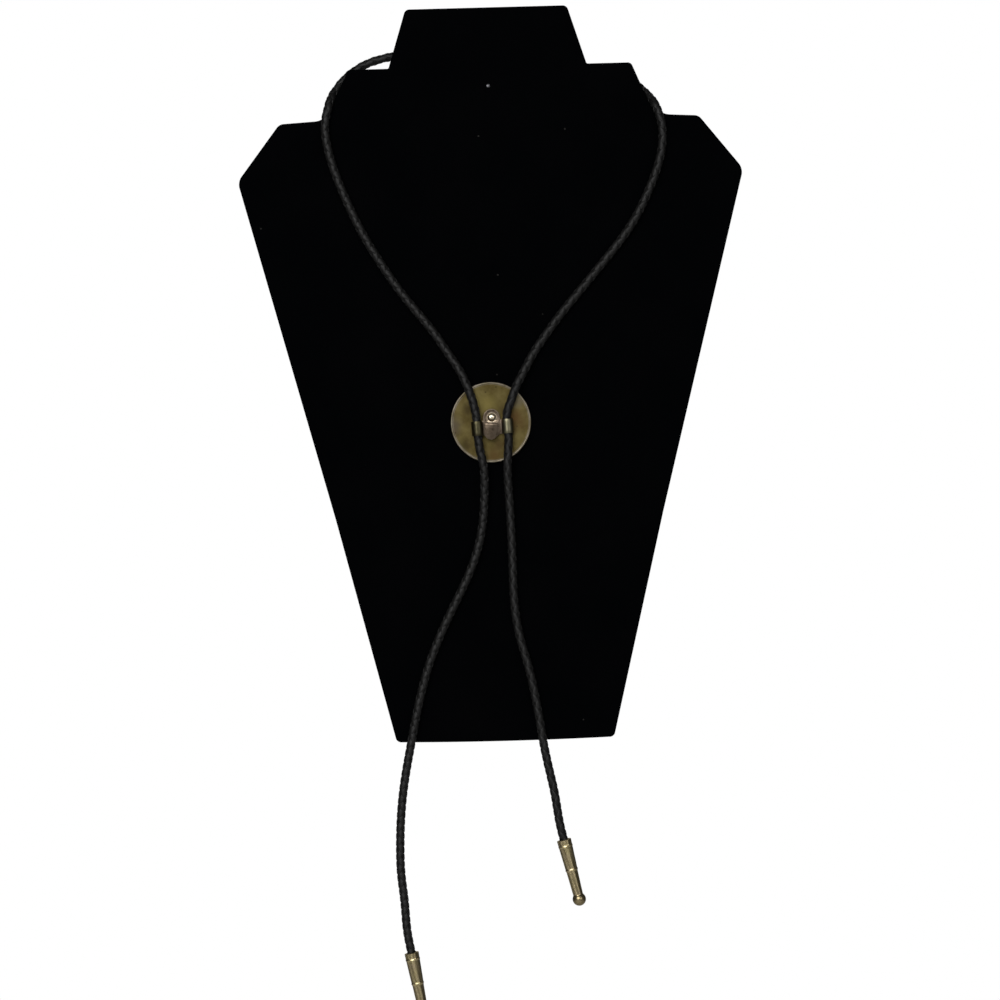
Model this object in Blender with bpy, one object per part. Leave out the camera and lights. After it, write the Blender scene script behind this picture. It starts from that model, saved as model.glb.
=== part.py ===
"""A bolo tie hung round a flat necklace display board, with the back of its slide facing out.

+Z is up, and the board's front faces -Y. The origin is on the axis of the pin that holds the
board, at the board's back face.
"""

import math

import bmesh
import bpy
import numpy as np
from mathutils import Matrix, Vector

# The clearance between pieces that rest on each other
GAP = 0.0003

# A hair's breadth, which keeps two faces apart that would otherwise be level
HAIR = 0.00005

# How far a cutting guide reaches past what it cuts
OVERCUT = 0.0040

# The display board: half widths and heights from the pin, and the radius of each corner
BOARD_THICKNESS = 0.0040
BOARD_EDGE_RADIUS = 0.0014
NECK_TOP_HALF = 0.0382
NECK_TOP_Z = 0.0373
NECK_FOOT_HALF = 0.0469
NECK_CORNER_RADIUS = 0.0025
STEP_RIGHT = 0.0679
STEP_LEFT = 0.0659
STEP_Z = 0.0095
STEP_CORNER_RADIUS = 0.0022
NOTCH_RIGHT = 0.0774
NOTCH_LEFT = 0.0763
NOTCH_Z = -0.0152
NOTCH_RADIUS = 0.0090
LEFT_RISE = 0.0010
SHOULDER_HALF = 0.0992
SHOULDER_Z = -0.0164
SHOULDER_CORNER_RADIUS = 0.0040
OUTER_HALF = 0.1196
OUTER_Z = -0.0421
OUTER_CORNER_RADIUS = 0.0060
SIDE_HALF = 0.0775
SIDE_Z = -0.2030
BOTTOM_HALF = 0.0514
BOTTOM_Z = -0.3091
BOTTOM_CORNER_RADIUS = 0.0025
INNER_CORNER_RADIUS = 0.0008
BOTTOM_BOW = 0.0007

# The pin through the neck
PIN_RADIUS = 0.0004
PIN_HEAD_RADIUS = 0.0010
PIN_HEAD_EDGE = 0.0003
PIN_HEAD_HEIGHT = 0.0008
PIN_REACH = 0.0120
PIN_POINT_LENGTH = 0.0020

# The slide
DISC_X = -0.0029
DISC_Z = -0.1590
DISC_RADIUS = 0.0190
DISC_THICKNESS = 0.0021
DISC_CHAMFER = 0.0005
RIM_WIDTH = 0.0010
RIM_HEIGHT = 0.0004

# The cord
CORD_RADIUS = 0.0020

# The clip's plate, and the dish in it with the rivet's dome
CLIP_X = -0.0022
CLIP_Z = -0.1615
PLATE_HALF_WIDTH = 0.0040
PLATE_THICKNESS = 0.0009
PLATE_FOOT_Z = -0.0039
PLATE_FOOT_RADIUS = 0.0014
PLATE_SHIFT = -0.0006
PLATE_TURN = math.radians(-3.5)
DISH_Z = 0.0048
DISH_RADIUS = 0.0030
DISH_SLOPE = 0.0002
DISH_DEPTH = 0.0004
DOME_RADIUS = 0.0021
DOME_HEIGHT = 0.0011

# The clip's cross strip and the loops at its ends
STRIP_THICKNESS = 0.0005
STRIP_HALF_HEIGHT = 0.0034
STRIP_TURN = math.radians(3.5)
LOOP_OFFSET = 0.00715
LEFT = -1
RIGHT = 1
LOOP_SWEEP = math.radians(296)

# The lever and its hinge
LEVER_HALF_WIDTH = 0.0030
LEVER_WALL = 0.0006
HINGE_Z = 0.0011
HINGE_RADIUS = 0.0019
LEVER_RISE = 0.0010
LEVER_REACH = 0.0069
LEVER_FOOT_SETBACK = 0.0010
HINGE_PIN_RADIUS = 0.0004
HINGE_BORE_CLEARANCE = 0.0002
HINGE_PIN_PROUD = 0.0002
LUG_RADIUS = 0.0010

# The cord's tips: a tube in two tapers with a ridge between, and a ball
TIP_MOUTH_RADIUS = 0.0034
TIP_MOUTH_LIP = 0.0003
TIP_TAPER = 0.00015
TIP_WAIST_AT = 0.0067
TIP_RIDGE_RADIUS = 0.00295
TIP_NECK_RADIUS = 0.0024
TIP_RIDGE_AT = 0.0148
TIP_RIDGE_HALF = 0.0006
TIP_BALL_RADIUS = 0.00315
TIP_BALL_AT = 0.0290
TIP_BORE_DEPTH = 0.0090
TIP_LEFT_MOUTH = (-0.0471, -0.4082)
TIP_LEFT_LEAN = math.radians(9.9)
TIP_RIGHT_MOUTH = (0.0262, -0.3568)
TIP_RIGHT_LEAN = math.radians(13.0)

# How far the cord reaches into each tip
CORD_SEAT = 0.0070

# Steps on round shapes
CORNER_STEPS = 5
BOW_STEPS = 8
DISC_STEPS = 72
SMALL_STEPS = 24
LOOP_STEPS = 26
CORD_STEP = 0.0125
CORD_STEP_TIGHT = 0.0062
CORD_TIGHT_TURN = math.radians(11)

# Planes worked out from the sizes
BOARD_FRONT_Y = -BOARD_THICKNESS
DISC_FRONT_Y = BOARD_FRONT_Y - GAP
DISC_FACE_Y = DISC_FRONT_Y - DISC_THICKNESS
PLATE_BACK_Y = DISC_FACE_Y - GAP
PLATE_FRONT_Y = PLATE_BACK_Y - PLATE_THICKNESS
HINGE_Y = PLATE_FRONT_Y - GAP - HINGE_RADIUS
LOOP_RADIUS = CORD_RADIUS + GAP + STRIP_THICKNESS / 2
LOOP_Y = PLATE_BACK_Y - HAIR - STRIP_THICKNESS / 2 - LOOP_RADIUS
BACK_LANE = CORD_RADIUS + GAP
FRONT_LANE = BOARD_FRONT_Y - GAP - CORD_RADIUS


def tip_point(mouth, lean, along):
    """The point this far below a tip's mouth on its axis, or above it if along is negative."""
    return (
        mouth[0] + math.sin(lean) * along,
        FRONT_LANE,
        mouth[1] - math.cos(lean) * along,
    )


def in_clip(across, depth, up, turn):
    """A place in the clip, whose own axes are turned anticlockwise as seen from the front."""
    return Vector((
        CLIP_X + across * math.cos(turn) - up * math.sin(turn),
        depth,
        CLIP_Z + across * math.sin(turn) + up * math.cos(turn),
    ))


def loop_point(side, along):
    """The point this far up the axis of the clip's left or right loop, from its middle."""
    return in_clip(side * LOOP_OFFSET, LOOP_Y, along, STRIP_TURN)


# The cord's route from the left tip up to the clip, round the neck and down to the right tip
LEFT_TAIL = [
    tip_point(TIP_LEFT_MOUTH, TIP_LEFT_LEAN, CORD_SEAT),
    tip_point(TIP_LEFT_MOUTH, TIP_LEFT_LEAN, 0.0),
    tip_point(TIP_LEFT_MOUTH, TIP_LEFT_LEAN, -0.0090),
    (-0.0498, FRONT_LANE, -0.3831),
    (-0.0509, FRONT_LANE, -0.3717),
    (-0.0511, FRONT_LANE, -0.3600),
    (-0.0506, FRONT_LANE, -0.3480),
    (-0.0494, FRONT_LANE, -0.3355),
    (-0.0474, FRONT_LANE, -0.3231),
    (-0.0447, FRONT_LANE, -0.3100),
    (-0.0420, FRONT_LANE, -0.2972),
    (-0.0391, FRONT_LANE, -0.2855),
    (-0.0357, FRONT_LANE, -0.2742),
    (-0.0305, FRONT_LANE, -0.2611),
    (-0.0249, FRONT_LANE, -0.2494),
    (-0.0165, FRONT_LANE, -0.2331),
    (-0.0096, FRONT_LANE, -0.2144),
    (-0.0072, -0.0066, -0.1985),
    (-0.0067, -0.0078, -0.1880),
    (-0.0071, -0.0093, -0.1785),
    (-0.0083, LOOP_Y, -0.1725),
]
LEFT_RUN = [
    loop_point(LEFT, -0.0050),
    loop_point(LEFT, 0.0),
    loop_point(LEFT, 0.0050),
    (-0.0112, -0.0095, -0.1491),
    (-0.0138, -0.0091, -0.1414),
    (-0.0173, -0.0080, -0.1338),
    (-0.0216, -0.0068, -0.1270),
    (-0.0281, FRONT_LANE, -0.1169),
    (-0.0432, FRONT_LANE, -0.0973),
    (-0.0488, FRONT_LANE, -0.0891),
    (-0.0543, FRONT_LANE, -0.0803),
    (-0.0606, FRONT_LANE, -0.0693),
    (-0.0667, FRONT_LANE, -0.0564),
    (-0.0712, FRONT_LANE, -0.0453),
    (-0.0748, FRONT_LANE, -0.0345),
    (-0.0769, FRONT_LANE, -0.0250),
    (-0.0774, FRONT_LANE, -0.0163),
    (-0.0763, -0.0062, -0.0106),
    (-0.0753, -0.0050, -0.0068),
    (-0.0742, -0.0022, -0.0034),
    (-0.0723, 0.0011, 0.0002),
]
BEHIND_NECK = [
    (-0.0697, 0.0023, 0.0037),
    (-0.0657, 0.0024, 0.0076),
    (-0.0611, 0.0024, 0.0107),
    (-0.0562, 0.0024, 0.0131),
    (-0.0513, 0.0024, 0.0146),
    (-0.0450, 0.0024, 0.0159),
    (-0.0340, BACK_LANE, 0.0164),
    (-0.0190, BACK_LANE, 0.0157),
    (0.0000, BACK_LANE, 0.0138),
    (0.0190, BACK_LANE, 0.0113),
    (0.0360, BACK_LANE, 0.0086),
    (0.0500, BACK_LANE, 0.0060),
    (0.0600, BACK_LANE, 0.0036),
    (0.0662, 0.0025, 0.0016),
    (0.0712, 0.0025, -0.0013),
    (0.0750, 0.0014, -0.0051),
    (0.0775, -0.0020, -0.0085),
    (0.0793, -0.0055, -0.0125),
]
RIGHT_RUN = [
    (0.0807, -0.0064, -0.0168),
    (0.0817, FRONT_LANE, -0.0228),
    (0.0813, FRONT_LANE, -0.0310),
    (0.0783, FRONT_LANE, -0.0423),
    (0.0731, FRONT_LANE, -0.0544),
    (0.0669, FRONT_LANE, -0.0658),
    (0.0599, FRONT_LANE, -0.0755),
    (0.0509, FRONT_LANE, -0.0862),
    (0.0401, FRONT_LANE, -0.0987),
    (0.0315, FRONT_LANE, -0.1087),
    (0.0242, FRONT_LANE, -0.1182),
    (0.0181, -0.0066, -0.1268),
    (0.0130, -0.0078, -0.1358),
    (0.0090, -0.0091, -0.1435),
    (0.0063, -0.0095, -0.1505),
    loop_point(RIGHT, 0.0050),
    loop_point(RIGHT, 0.0),
    loop_point(RIGHT, -0.0050),
]
RIGHT_TAIL = [
    (0.0049, LOOP_Y, -0.1725),
    (0.0044, -0.0093, -0.1790),
    (0.0044, -0.0078, -0.1870),
    (0.0048, -0.0066, -0.1965),
    (0.0052, FRONT_LANE, -0.2080),
    (0.0055, FRONT_LANE, -0.2243),
    (0.0058, FRONT_LANE, -0.2432),
    (0.0079, FRONT_LANE, -0.2600),
    (0.0114, FRONT_LANE, -0.2736),
    (0.0142, FRONT_LANE, -0.2869),
    (0.0160, FRONT_LANE, -0.2980),
    (0.0175, FRONT_LANE, -0.3087),
    (0.0199, FRONT_LANE, -0.3221),
    (0.0226, FRONT_LANE, -0.3358),
    tip_point(TIP_RIGHT_MOUTH, TIP_RIGHT_LEAN, -0.0060),
    tip_point(TIP_RIGHT_MOUTH, TIP_RIGHT_LEAN, 0.0),
    tip_point(TIP_RIGHT_MOUTH, TIP_RIGHT_LEAN, CORD_SEAT),
]
CORD_ROUTE = LEFT_TAIL + LEFT_RUN + BEHIND_NECK + RIGHT_RUN + RIGHT_TAIL


def clear_scene():
    for thing in list(bpy.data.objects):
        bpy.data.objects.remove(thing, do_unlink=True)


def new_material(name, colour, roughness, metallic):
    material = bpy.data.materials.new(name)
    material.use_nodes = True
    shader = material.node_tree.nodes["Principled BSDF"]
    shader.inputs["Base Color"].default_value = (*colour, 1.0)
    shader.inputs["Roughness"].default_value = roughness
    shader.inputs["Metallic"].default_value = metallic
    material.diffuse_color = (*colour, 1.0)
    return material


def add_mesh(name, bm, material=None):
    """Turns a bmesh into an object in the scene, with its faces pointing out."""
    bmesh.ops.recalc_face_normals(bm, faces=bm.faces)
    mesh = bpy.data.meshes.new(name)
    bm.to_mesh(mesh)
    bm.free()
    thing = bpy.data.objects.new(name, mesh)
    bpy.context.scene.collection.objects.link(thing)
    if material:
        mesh.materials.append(material)
        mesh.shade_smooth()
        mesh.set_sharp_from_angle(angle=math.radians(35))
    return thing


def combine(body, tool, operation):
    """Joins, cuts or crosses a body with a tool, which stays in the scene as a wire guide."""
    tool.hide_render = True
    tool.display_type = "WIRE"
    step = body.modifiers.new(tool.name, "BOOLEAN")
    step.operation = operation
    step.solver = "EXACT"
    step.object = tool


def prism(outline, low, high, axis):
    """A closed prism on an outline of (across, up) points, from low to high along an axis.

    Along Y, across is X. Along X, across is Y.
    """
    bm = bmesh.new()
    place = {"Y": lambda a, u, d: (a, d, u), "X": lambda a, u, d: (d, a, u)}[axis]
    face = bm.faces.new([bm.verts.new(place(across, up, low)) for across, up in outline])
    grown = bmesh.ops.extrude_face_region(bm, geom=[face])
    move = Vector(place(0.0, 0.0, high - low))
    bmesh.ops.translate(bm, vec=move, verts=[v for v in grown["geom"] if isinstance(v, bmesh.types.BMVert)])
    return bm


def turned(rows, steps):
    """A closed turned solid about Z from (radius, height) rows. A radius of 0 is a pole."""
    bm = bmesh.new()
    rings = []
    for radius, height in rows:
        if radius == 0.0:
            rings.append([bm.verts.new((0.0, 0.0, height))] * steps)
            continue
        angles = [math.tau * i / steps for i in range(steps)]
        rings.append([bm.verts.new((radius * math.cos(a), radius * math.sin(a), height)) for a in angles])
    for lower, upper in zip(rings, rings[1:]):
        for i in range(steps):
            j = (i + 1) % steps
            corners = [lower[i], lower[j], upper[j], upper[i]]
            bm.faces.new(list(dict.fromkeys(corners)))
    return bm


def arc(centre, radius, start, end, steps):
    """Points on an arc, with both ends."""
    angles = [start + (end - start) * i / steps for i in range(steps + 1)]
    return [(centre[0] + radius * math.cos(a), centre[1] + radius * math.sin(a)) for a in angles]


def dome(radius, base, height, steps):
    """A dome's (radius, height) rows, from its pole down to its edge."""
    rows = arc((0.0, 0.0), 1.0, math.pi / 2, 0.0, steps)
    return [(0.0, base + height)] + [(radius * c, base + height * s) for c, s in rows[1:]]


def round_corners(corners):
    """An outline from (x, z, radius) corners, each rounded by an arc that meets both its sides."""
    outline = []
    for i, (x, z, radius) in enumerate(corners):
        here = Vector((x, z))
        if radius == 0.0:
            outline.append((x, z))
            continue
        to_last = (Vector(corners[i - 1][:2]) - here).normalized()
        to_next = (Vector(corners[(i + 1) % len(corners)][:2]) - here).normalized()
        half = to_last.angle(to_next) / 2
        middle = here + (to_last + to_next).normalized() * (radius / math.sin(half))
        first = here + to_last * (radius / math.tan(half)) - middle
        swing = math.pi - 2 * half
        turn = 1 if first.x * to_last.y - first.y * to_last.x < 0 else -1
        for k in range(CORNER_STEPS + 1):
            a = turn * swing * k / CORNER_STEPS
            outline.append((
                middle.x + first.x * math.cos(a) - first.y * math.sin(a),
                middle.y + first.x * math.sin(a) + first.y * math.cos(a),
            ))
    return outline


def smooth_curve(points, samples_per_span=24):
    """A natural cubic spline through the points, as closely spaced samples."""
    points = np.array(points)
    along = np.concatenate([[0.0], np.cumsum(np.linalg.norm(np.diff(points, axis=0), axis=1))])
    spans = np.diff(along)
    count = len(points)
    system = np.eye(count)
    right = np.zeros((count, 3))
    slopes = np.diff(points, axis=0) / spans[:, None]
    for i in range(1, count - 1):
        system[i, i - 1] = spans[i - 1]
        system[i, i] = 2 * (spans[i - 1] + spans[i])
        system[i, i + 1] = spans[i]
        right[i] = 6 * (slopes[i] - slopes[i - 1])
    bends = np.linalg.solve(system, right)
    line = []
    for i in range(count - 1):
        for t in np.arange(samples_per_span) / samples_per_span * spans[i]:
            rest = spans[i] - t
            line.append(
                (bends[i] * rest**3 + bends[i + 1] * t**3) / (6 * spans[i])
                + (points[i] / spans[i] - bends[i] * spans[i] / 6) * rest
                + (points[i + 1] / spans[i] - bends[i + 1] * spans[i] / 6) * t
            )
    line.append(points[-1])
    return np.array(line)


def spaced_by_bend(line):
    """The samples to keep: further apart where the line is nearly straight, closer where it bends."""
    kept = [0]
    for i in range(1, len(line) - 1):
        length = np.linalg.norm(line[i] - line[kept[-1]])
        first = Vector(line[kept[-1] + 1] - line[kept[-1]])
        turn = first.angle(Vector(line[i + 1] - line[i]))
        if length > CORD_STEP or (turn > CORD_TIGHT_TURN and length > CORD_STEP_TIGHT):
            kept.append(i)
    if np.linalg.norm(line[-1] - line[kept[-1]]) < CORD_STEP_TIGHT:
        kept.pop()
    return line[kept + [len(line) - 1]]


def side_corners(step, notch, rise):
    """One side's corners with their radii, from the neck's top down, as distances from the middle."""
    return [
        (NECK_TOP_HALF, NECK_TOP_Z, NECK_CORNER_RADIUS),
        (NECK_FOOT_HALF, STEP_Z, INNER_CORNER_RADIUS),
        (step, STEP_Z, STEP_CORNER_RADIUS),
        (notch, NOTCH_Z + rise, NOTCH_RADIUS),
        (SHOULDER_HALF, SHOULDER_Z + rise, SHOULDER_CORNER_RADIUS),
        (OUTER_HALF, OUTER_Z, OUTER_CORNER_RADIUS),
        (SIDE_HALF, SIDE_Z, 0.0),
        (BOTTOM_HALF, BOTTOM_Z, BOTTOM_CORNER_RADIUS),
    ]


def board_outline():
    """The board's outline seen from the front, clockwise from the neck's top right corner.

    The photographed board isn't cut quite evenly: its left step is narrower and its left shoulder
    higher than the right ones.
    """
    right_side = side_corners(STEP_RIGHT, NOTCH_RIGHT, 0.0)
    left_side = side_corners(STEP_LEFT, NOTCH_LEFT, LEFT_RISE)
    bottom = []
    for i in range(1, BOW_STEPS):
        share = 1 - 2 * i / BOW_STEPS
        bottom.append((BOTTOM_HALF * share, BOTTOM_Z - BOTTOM_BOW * (1 - share**2), 0.0))
    mirrored = [(-x, z, radius) for x, z, radius in reversed(left_side)]
    return round_corners(right_side + bottom + mirrored)


def display_board(material):
    """The flat board with rounded edges, and the hole for its pin."""
    bm = prism(board_outline(), BOARD_FRONT_Y, 0.0, "Y")
    rims = [e for e in bm.edges if abs(e.verts[0].co.y - e.verts[1].co.y) < GAP]
    bmesh.ops.bevel(
        bm, geom=rims, offset=BOARD_EDGE_RADIUS, segments=3, profile=0.5, affect="EDGES", material=-1
    )
    board = add_mesh("display_board", bm, material)
    radius, low, high = PIN_RADIUS + GAP, -OVERCUT, BOARD_THICKNESS + OVERCUT
    rows = [(0.0, low), (radius, low), (radius, high), (0.0, high)]
    bore = add_mesh("guide_pin_hole", turned(rows, SMALL_STEPS))
    bore.rotation_euler = (math.radians(90), 0.0, 0.0)
    combine(board, bore, "DIFFERENCE")


def board_pin(material):
    """The pin: a low domed head on the board's front, and a pointed shank out behind it."""
    head = BOARD_THICKNESS + GAP
    rows = dome(PIN_HEAD_RADIUS, head + PIN_HEAD_EDGE, PIN_HEAD_HEIGHT - PIN_HEAD_EDGE, 3) + [
        (PIN_HEAD_RADIUS, head),
        (PIN_RADIUS, head),
        (PIN_RADIUS, PIN_POINT_LENGTH - PIN_REACH),
        (0.0, -PIN_REACH),
    ]
    pin = add_mesh("board_pin", turned(rows, SMALL_STEPS // 2), material)
    pin.rotation_euler = (math.radians(90), 0.0, 0.0)


def slide_disc(material):
    """The round slide: plain towards the board, with a low rim round the side that faces out."""
    face = DISC_THICKNESS
    rim = DISC_THICKNESS + RIM_HEIGHT
    rows = [
        (0.0, 0.0),
        (DISC_RADIUS - DISC_CHAMFER, 0.0),
        (DISC_RADIUS, DISC_CHAMFER),
        (DISC_RADIUS, rim - RIM_HEIGHT / 2),
        (DISC_RADIUS - RIM_HEIGHT / 2, rim),
        (DISC_RADIUS - RIM_WIDTH + RIM_HEIGHT / 2, rim),
        (DISC_RADIUS - RIM_WIDTH, face),
        (0.0, face),
    ]
    disc = add_mesh("slide_disc", turned(rows, DISC_STEPS), material)
    disc.rotation_euler = (math.radians(90), 0.0, 0.0)
    disc.location = (DISC_X, DISC_FRONT_Y, DISC_Z)


def strip_outline():
    """The cross strip and its curled ends seen from above: the outer side, then the inner one."""
    half = STRIP_THICKNESS / 2
    sides = []
    for offset in (half, -half):
        radius, start = LOOP_RADIUS + offset, math.pi / 2
        right = arc((LOOP_OFFSET, LOOP_Y), radius, start, start - LOOP_SWEEP, LOOP_STEPS)
        left = [(-x, y) for x, y in reversed(right)]
        sides.append(left + right)
    return sides[0] + sides[1][::-1]


def strip_prism():
    bm = bmesh.new()
    outline = strip_outline()
    half = len(outline) // 2
    low = [bm.verts.new((x, y, -STRIP_HALF_HEIGHT)) for x, y in outline]
    high = [bm.verts.new((x, y, STRIP_HALF_HEIGHT)) for x, y in outline]
    for ring in (low, high):
        for i in range(half - 1):
            bm.faces.new([ring[i], ring[i + 1], ring[-2 - i], ring[-1 - i]])
    for i in range(len(outline)):
        j = (i + 1) % len(outline)
        bm.faces.new([low[i], low[j], high[j], high[i]])
    return bm


def plate_guide():
    """The oblong plate, whose round top end goes round the dish."""
    top = arc((0.0, DISH_Z), PLATE_HALF_WIDTH, 0.0, math.pi, SMALL_STEPS // 2)
    foot = [(side * PLATE_HALF_WIDTH, PLATE_FOOT_Z, PLATE_FOOT_RADIUS) for side in (LEFT, RIGHT)]
    outline = round_corners([(x, z, 0.0) for x, z in top] + foot)
    guide = add_mesh("guide_plate", prism(outline, PLATE_FRONT_Y, PLATE_BACK_Y, "Y"))
    guide.location = in_clip(PLATE_SHIFT, 0.0, 0.0, PLATE_TURN)
    guide.rotation_euler = (0.0, -PLATE_TURN, 0.0)
    return guide


def dish_guide(name, rows):
    """A turned guide on the dish's axis, with heights from the plate's front."""
    guide = add_mesh(name, turned(rows, SMALL_STEPS))
    guide.rotation_euler = (math.radians(90), 0.0, 0.0)
    guide.location = in_clip(PLATE_SHIFT, PLATE_FRONT_Y, DISH_Z, PLATE_TURN)
    return guide


def hinge_rod(name, radius, half_length):
    """A rod along the lever's hinge axis."""
    rows = [(0.0, -half_length), (radius, -half_length), (radius, half_length), (0.0, half_length)]
    bm = turned(rows, SMALL_STEPS // 2)
    bmesh.ops.rotate(bm, verts=bm.verts, matrix=Matrix.Rotation(math.radians(90), 3, "Y"))
    rod = add_mesh(name, bm)
    rod.location = in_clip(PLATE_SHIFT, HINGE_Y, HINGE_Z, PLATE_TURN)
    rod.rotation_euler = (0.0, -PLATE_TURN, 0.0)
    return rod


def lug_guide():
    """The hinge lug, which stands on the plate inside the lever."""
    root = PLATE_FRONT_Y + PLATE_THICKNESS / 2 - HINGE_Y
    profile = arc((0.0, 0.0), LUG_RADIUS, -math.pi / 2, -math.pi * 3 / 2, SMALL_STEPS // 2)
    profile += [(root, LUG_RADIUS), (root, -LUG_RADIUS)]
    half = LEVER_HALF_WIDTH - LEVER_WALL - GAP
    guide = add_mesh("guide_lug", prism(profile, -half, half, "X"))
    guide.location = in_clip(PLATE_SHIFT, HINGE_Y, HINGE_Z, PLATE_TURN)
    guide.rotation_euler = (0.0, -PLATE_TURN, 0.0)
    return guide


def clip_body(material, bore):
    """The cross strip with its loops, joined to the plate, the rivet's dome and the lug."""
    floor, mouth = -DISH_DEPTH, DISH_RADIUS + DISH_SLOPE
    dish_rows = [(0.0, floor), (DISH_RADIUS, floor), (mouth, 0.0), (mouth, OVERCUT), (0.0, OVERCUT)]
    root = floor - PLATE_THICKNESS / 4
    dome_rows = dome(DOME_RADIUS, floor, DOME_HEIGHT - floor, 5) + [(DOME_RADIUS, root), (0.0, root)]
    body = add_mesh("clip_body", strip_prism(), material)
    body.location = in_clip(0.0, 0.0, 0.0, STRIP_TURN)
    body.rotation_euler = (0.0, -STRIP_TURN, 0.0)
    combine(body, plate_guide(), "UNION")
    combine(body, dish_guide("guide_dish", dish_rows), "DIFFERENCE")
    combine(body, dish_guide("guide_dome", dome_rows), "UNION")
    combine(body, lug_guide(), "UNION")
    combine(body, bore, "DIFFERENCE")


def lever_front(half_width, low, high):
    """The lever's outline from the front, with a round foot."""
    foot = arc((0.0, low + half_width), half_width, math.pi, math.tau, SMALL_STEPS // 2)
    return foot + [(half_width, high), (-half_width, high)]


def lever_side(inset, low, back):
    """The lever's outline from the side: round about the hinge, then tapered to the foot."""
    radius = HINGE_RADIUS - inset
    setback = LEVER_FOOT_SETBACK * -low / LEVER_REACH
    if inset:
        return [(back, OVERCUT), (-radius, OVERCUT), (-radius, 0.0), (-radius + setback, low), (back, low)]
    profile = arc((0.0, 0.0), radius, 0.0, math.pi, SMALL_STEPS // 2)
    return profile + [(-radius + setback, low), (back, low)]


def clip_lever(material, bore):
    """The lever: a stamped cup, open behind and at the top, with its origin on the hinge axis."""
    place = in_clip(PLATE_SHIFT, HINGE_Y, HINGE_Z, PLATE_TURN)
    beyond = HINGE_RADIUS + OVERCUT
    inner_half = LEVER_HALF_WIDTH - LEVER_WALL
    low, inner_low = -LEVER_REACH, LEVER_WALL - LEVER_REACH
    side = lever_side(0.0, low, HINGE_RADIUS)
    lever = add_mesh("clip_lever", prism(side, -LEVER_HALF_WIDTH, LEVER_HALF_WIDTH, "X"), material)
    front = add_mesh("guide_lever_front", prism(
        lever_front(LEVER_HALF_WIDTH + HAIR, low, LEVER_RISE), -beyond, beyond, "Y"
    ))
    hollow = add_mesh("guide_lever_hollow", prism(
        lever_side(LEVER_WALL, inner_low, beyond), -inner_half, inner_half, "X"
    ))
    hollow_front = add_mesh("guide_hollow_front", prism(
        lever_front(inner_half + HAIR, inner_low, LEVER_RISE + OVERCUT), -beyond - HAIR, beyond + HAIR, "Y"
    ))
    for thing in (lever, front, hollow, hollow_front):
        thing.location = place
        thing.rotation_euler = (0.0, -PLATE_TURN, 0.0)
    combine(hollow, hollow_front, "INTERSECT")
    combine(lever, front, "INTERSECT")
    combine(lever, hollow, "DIFFERENCE")
    combine(lever, bore, "DIFFERENCE")


def clip_hinge_pin(material):
    pin = hinge_rod("clip_hinge_pin", HINGE_PIN_RADIUS, LEVER_HALF_WIDTH + HINGE_PIN_PROUD)
    pin.data.materials.append(material)


def bolo_cord(material):
    """The cord as one round tube from the inside of one tip to the inside of the other."""
    points = spaced_by_bend(smooth_curve(CORD_ROUTE))
    curve = bpy.data.curves.new("bolo_cord", "CURVE")
    curve.dimensions = "3D"
    curve.bevel_depth = CORD_RADIUS
    curve.bevel_resolution = 3
    curve.use_fill_caps = True
    spline = curve.splines.new("POLY")
    spline.points.add(len(points) - 1)
    for point, place in zip(spline.points, points):
        point.co = (*place, 1.0)
    cord = bpy.data.objects.new("bolo_cord", curve)
    curve.materials.append(material)
    bpy.context.scene.collection.objects.link(cord)
    length = np.linalg.norm(np.diff(points, axis=0), axis=1).sum()
    print(f"cord: {len(points)} points, {length:.4f} m")


def cord_tip(name, mouth, lean, material):
    """A tip: its bored tube, the ridge where its second taper starts, and its ball."""
    bore = CORD_RADIUS + GAP
    neck_at = TIP_BALL_AT - math.sqrt(TIP_BALL_RADIUS**2 - TIP_NECK_RADIUS**2)
    start = math.asin(TIP_NECK_RADIUS / TIP_BALL_RADIUS)
    ball = arc((0.0, 0.0), TIP_BALL_RADIUS, start, math.pi, 10)
    rows = [
        (0.0, TIP_BORE_DEPTH),
        (bore, TIP_BORE_DEPTH),
        (bore, 0.0),
        (TIP_MOUTH_RADIUS - TIP_MOUTH_LIP, 0.0),
        (TIP_MOUTH_RADIUS, TIP_MOUTH_LIP),
        (TIP_MOUTH_RADIUS - TIP_TAPER, TIP_WAIST_AT),
        (TIP_RIDGE_RADIUS - TIP_TAPER, TIP_RIDGE_AT - TIP_RIDGE_HALF),
        (TIP_RIDGE_RADIUS, TIP_RIDGE_AT),
        (TIP_RIDGE_RADIUS - TIP_MOUTH_LIP, TIP_RIDGE_AT + TIP_RIDGE_HALF),
        (TIP_NECK_RADIUS, neck_at),
    ]
    for x, y in ball[1:-1]:
        rows.append((y, TIP_BALL_AT - x))
    rows.append((0.0, TIP_BALL_AT + TIP_BALL_RADIUS))
    tip = add_mesh(name, turned(rows, SMALL_STEPS), material)
    tip.location = (mouth[0], FRONT_LANE, mouth[1])
    tip.rotation_euler = (0.0, math.pi - lean, 0.0)


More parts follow.
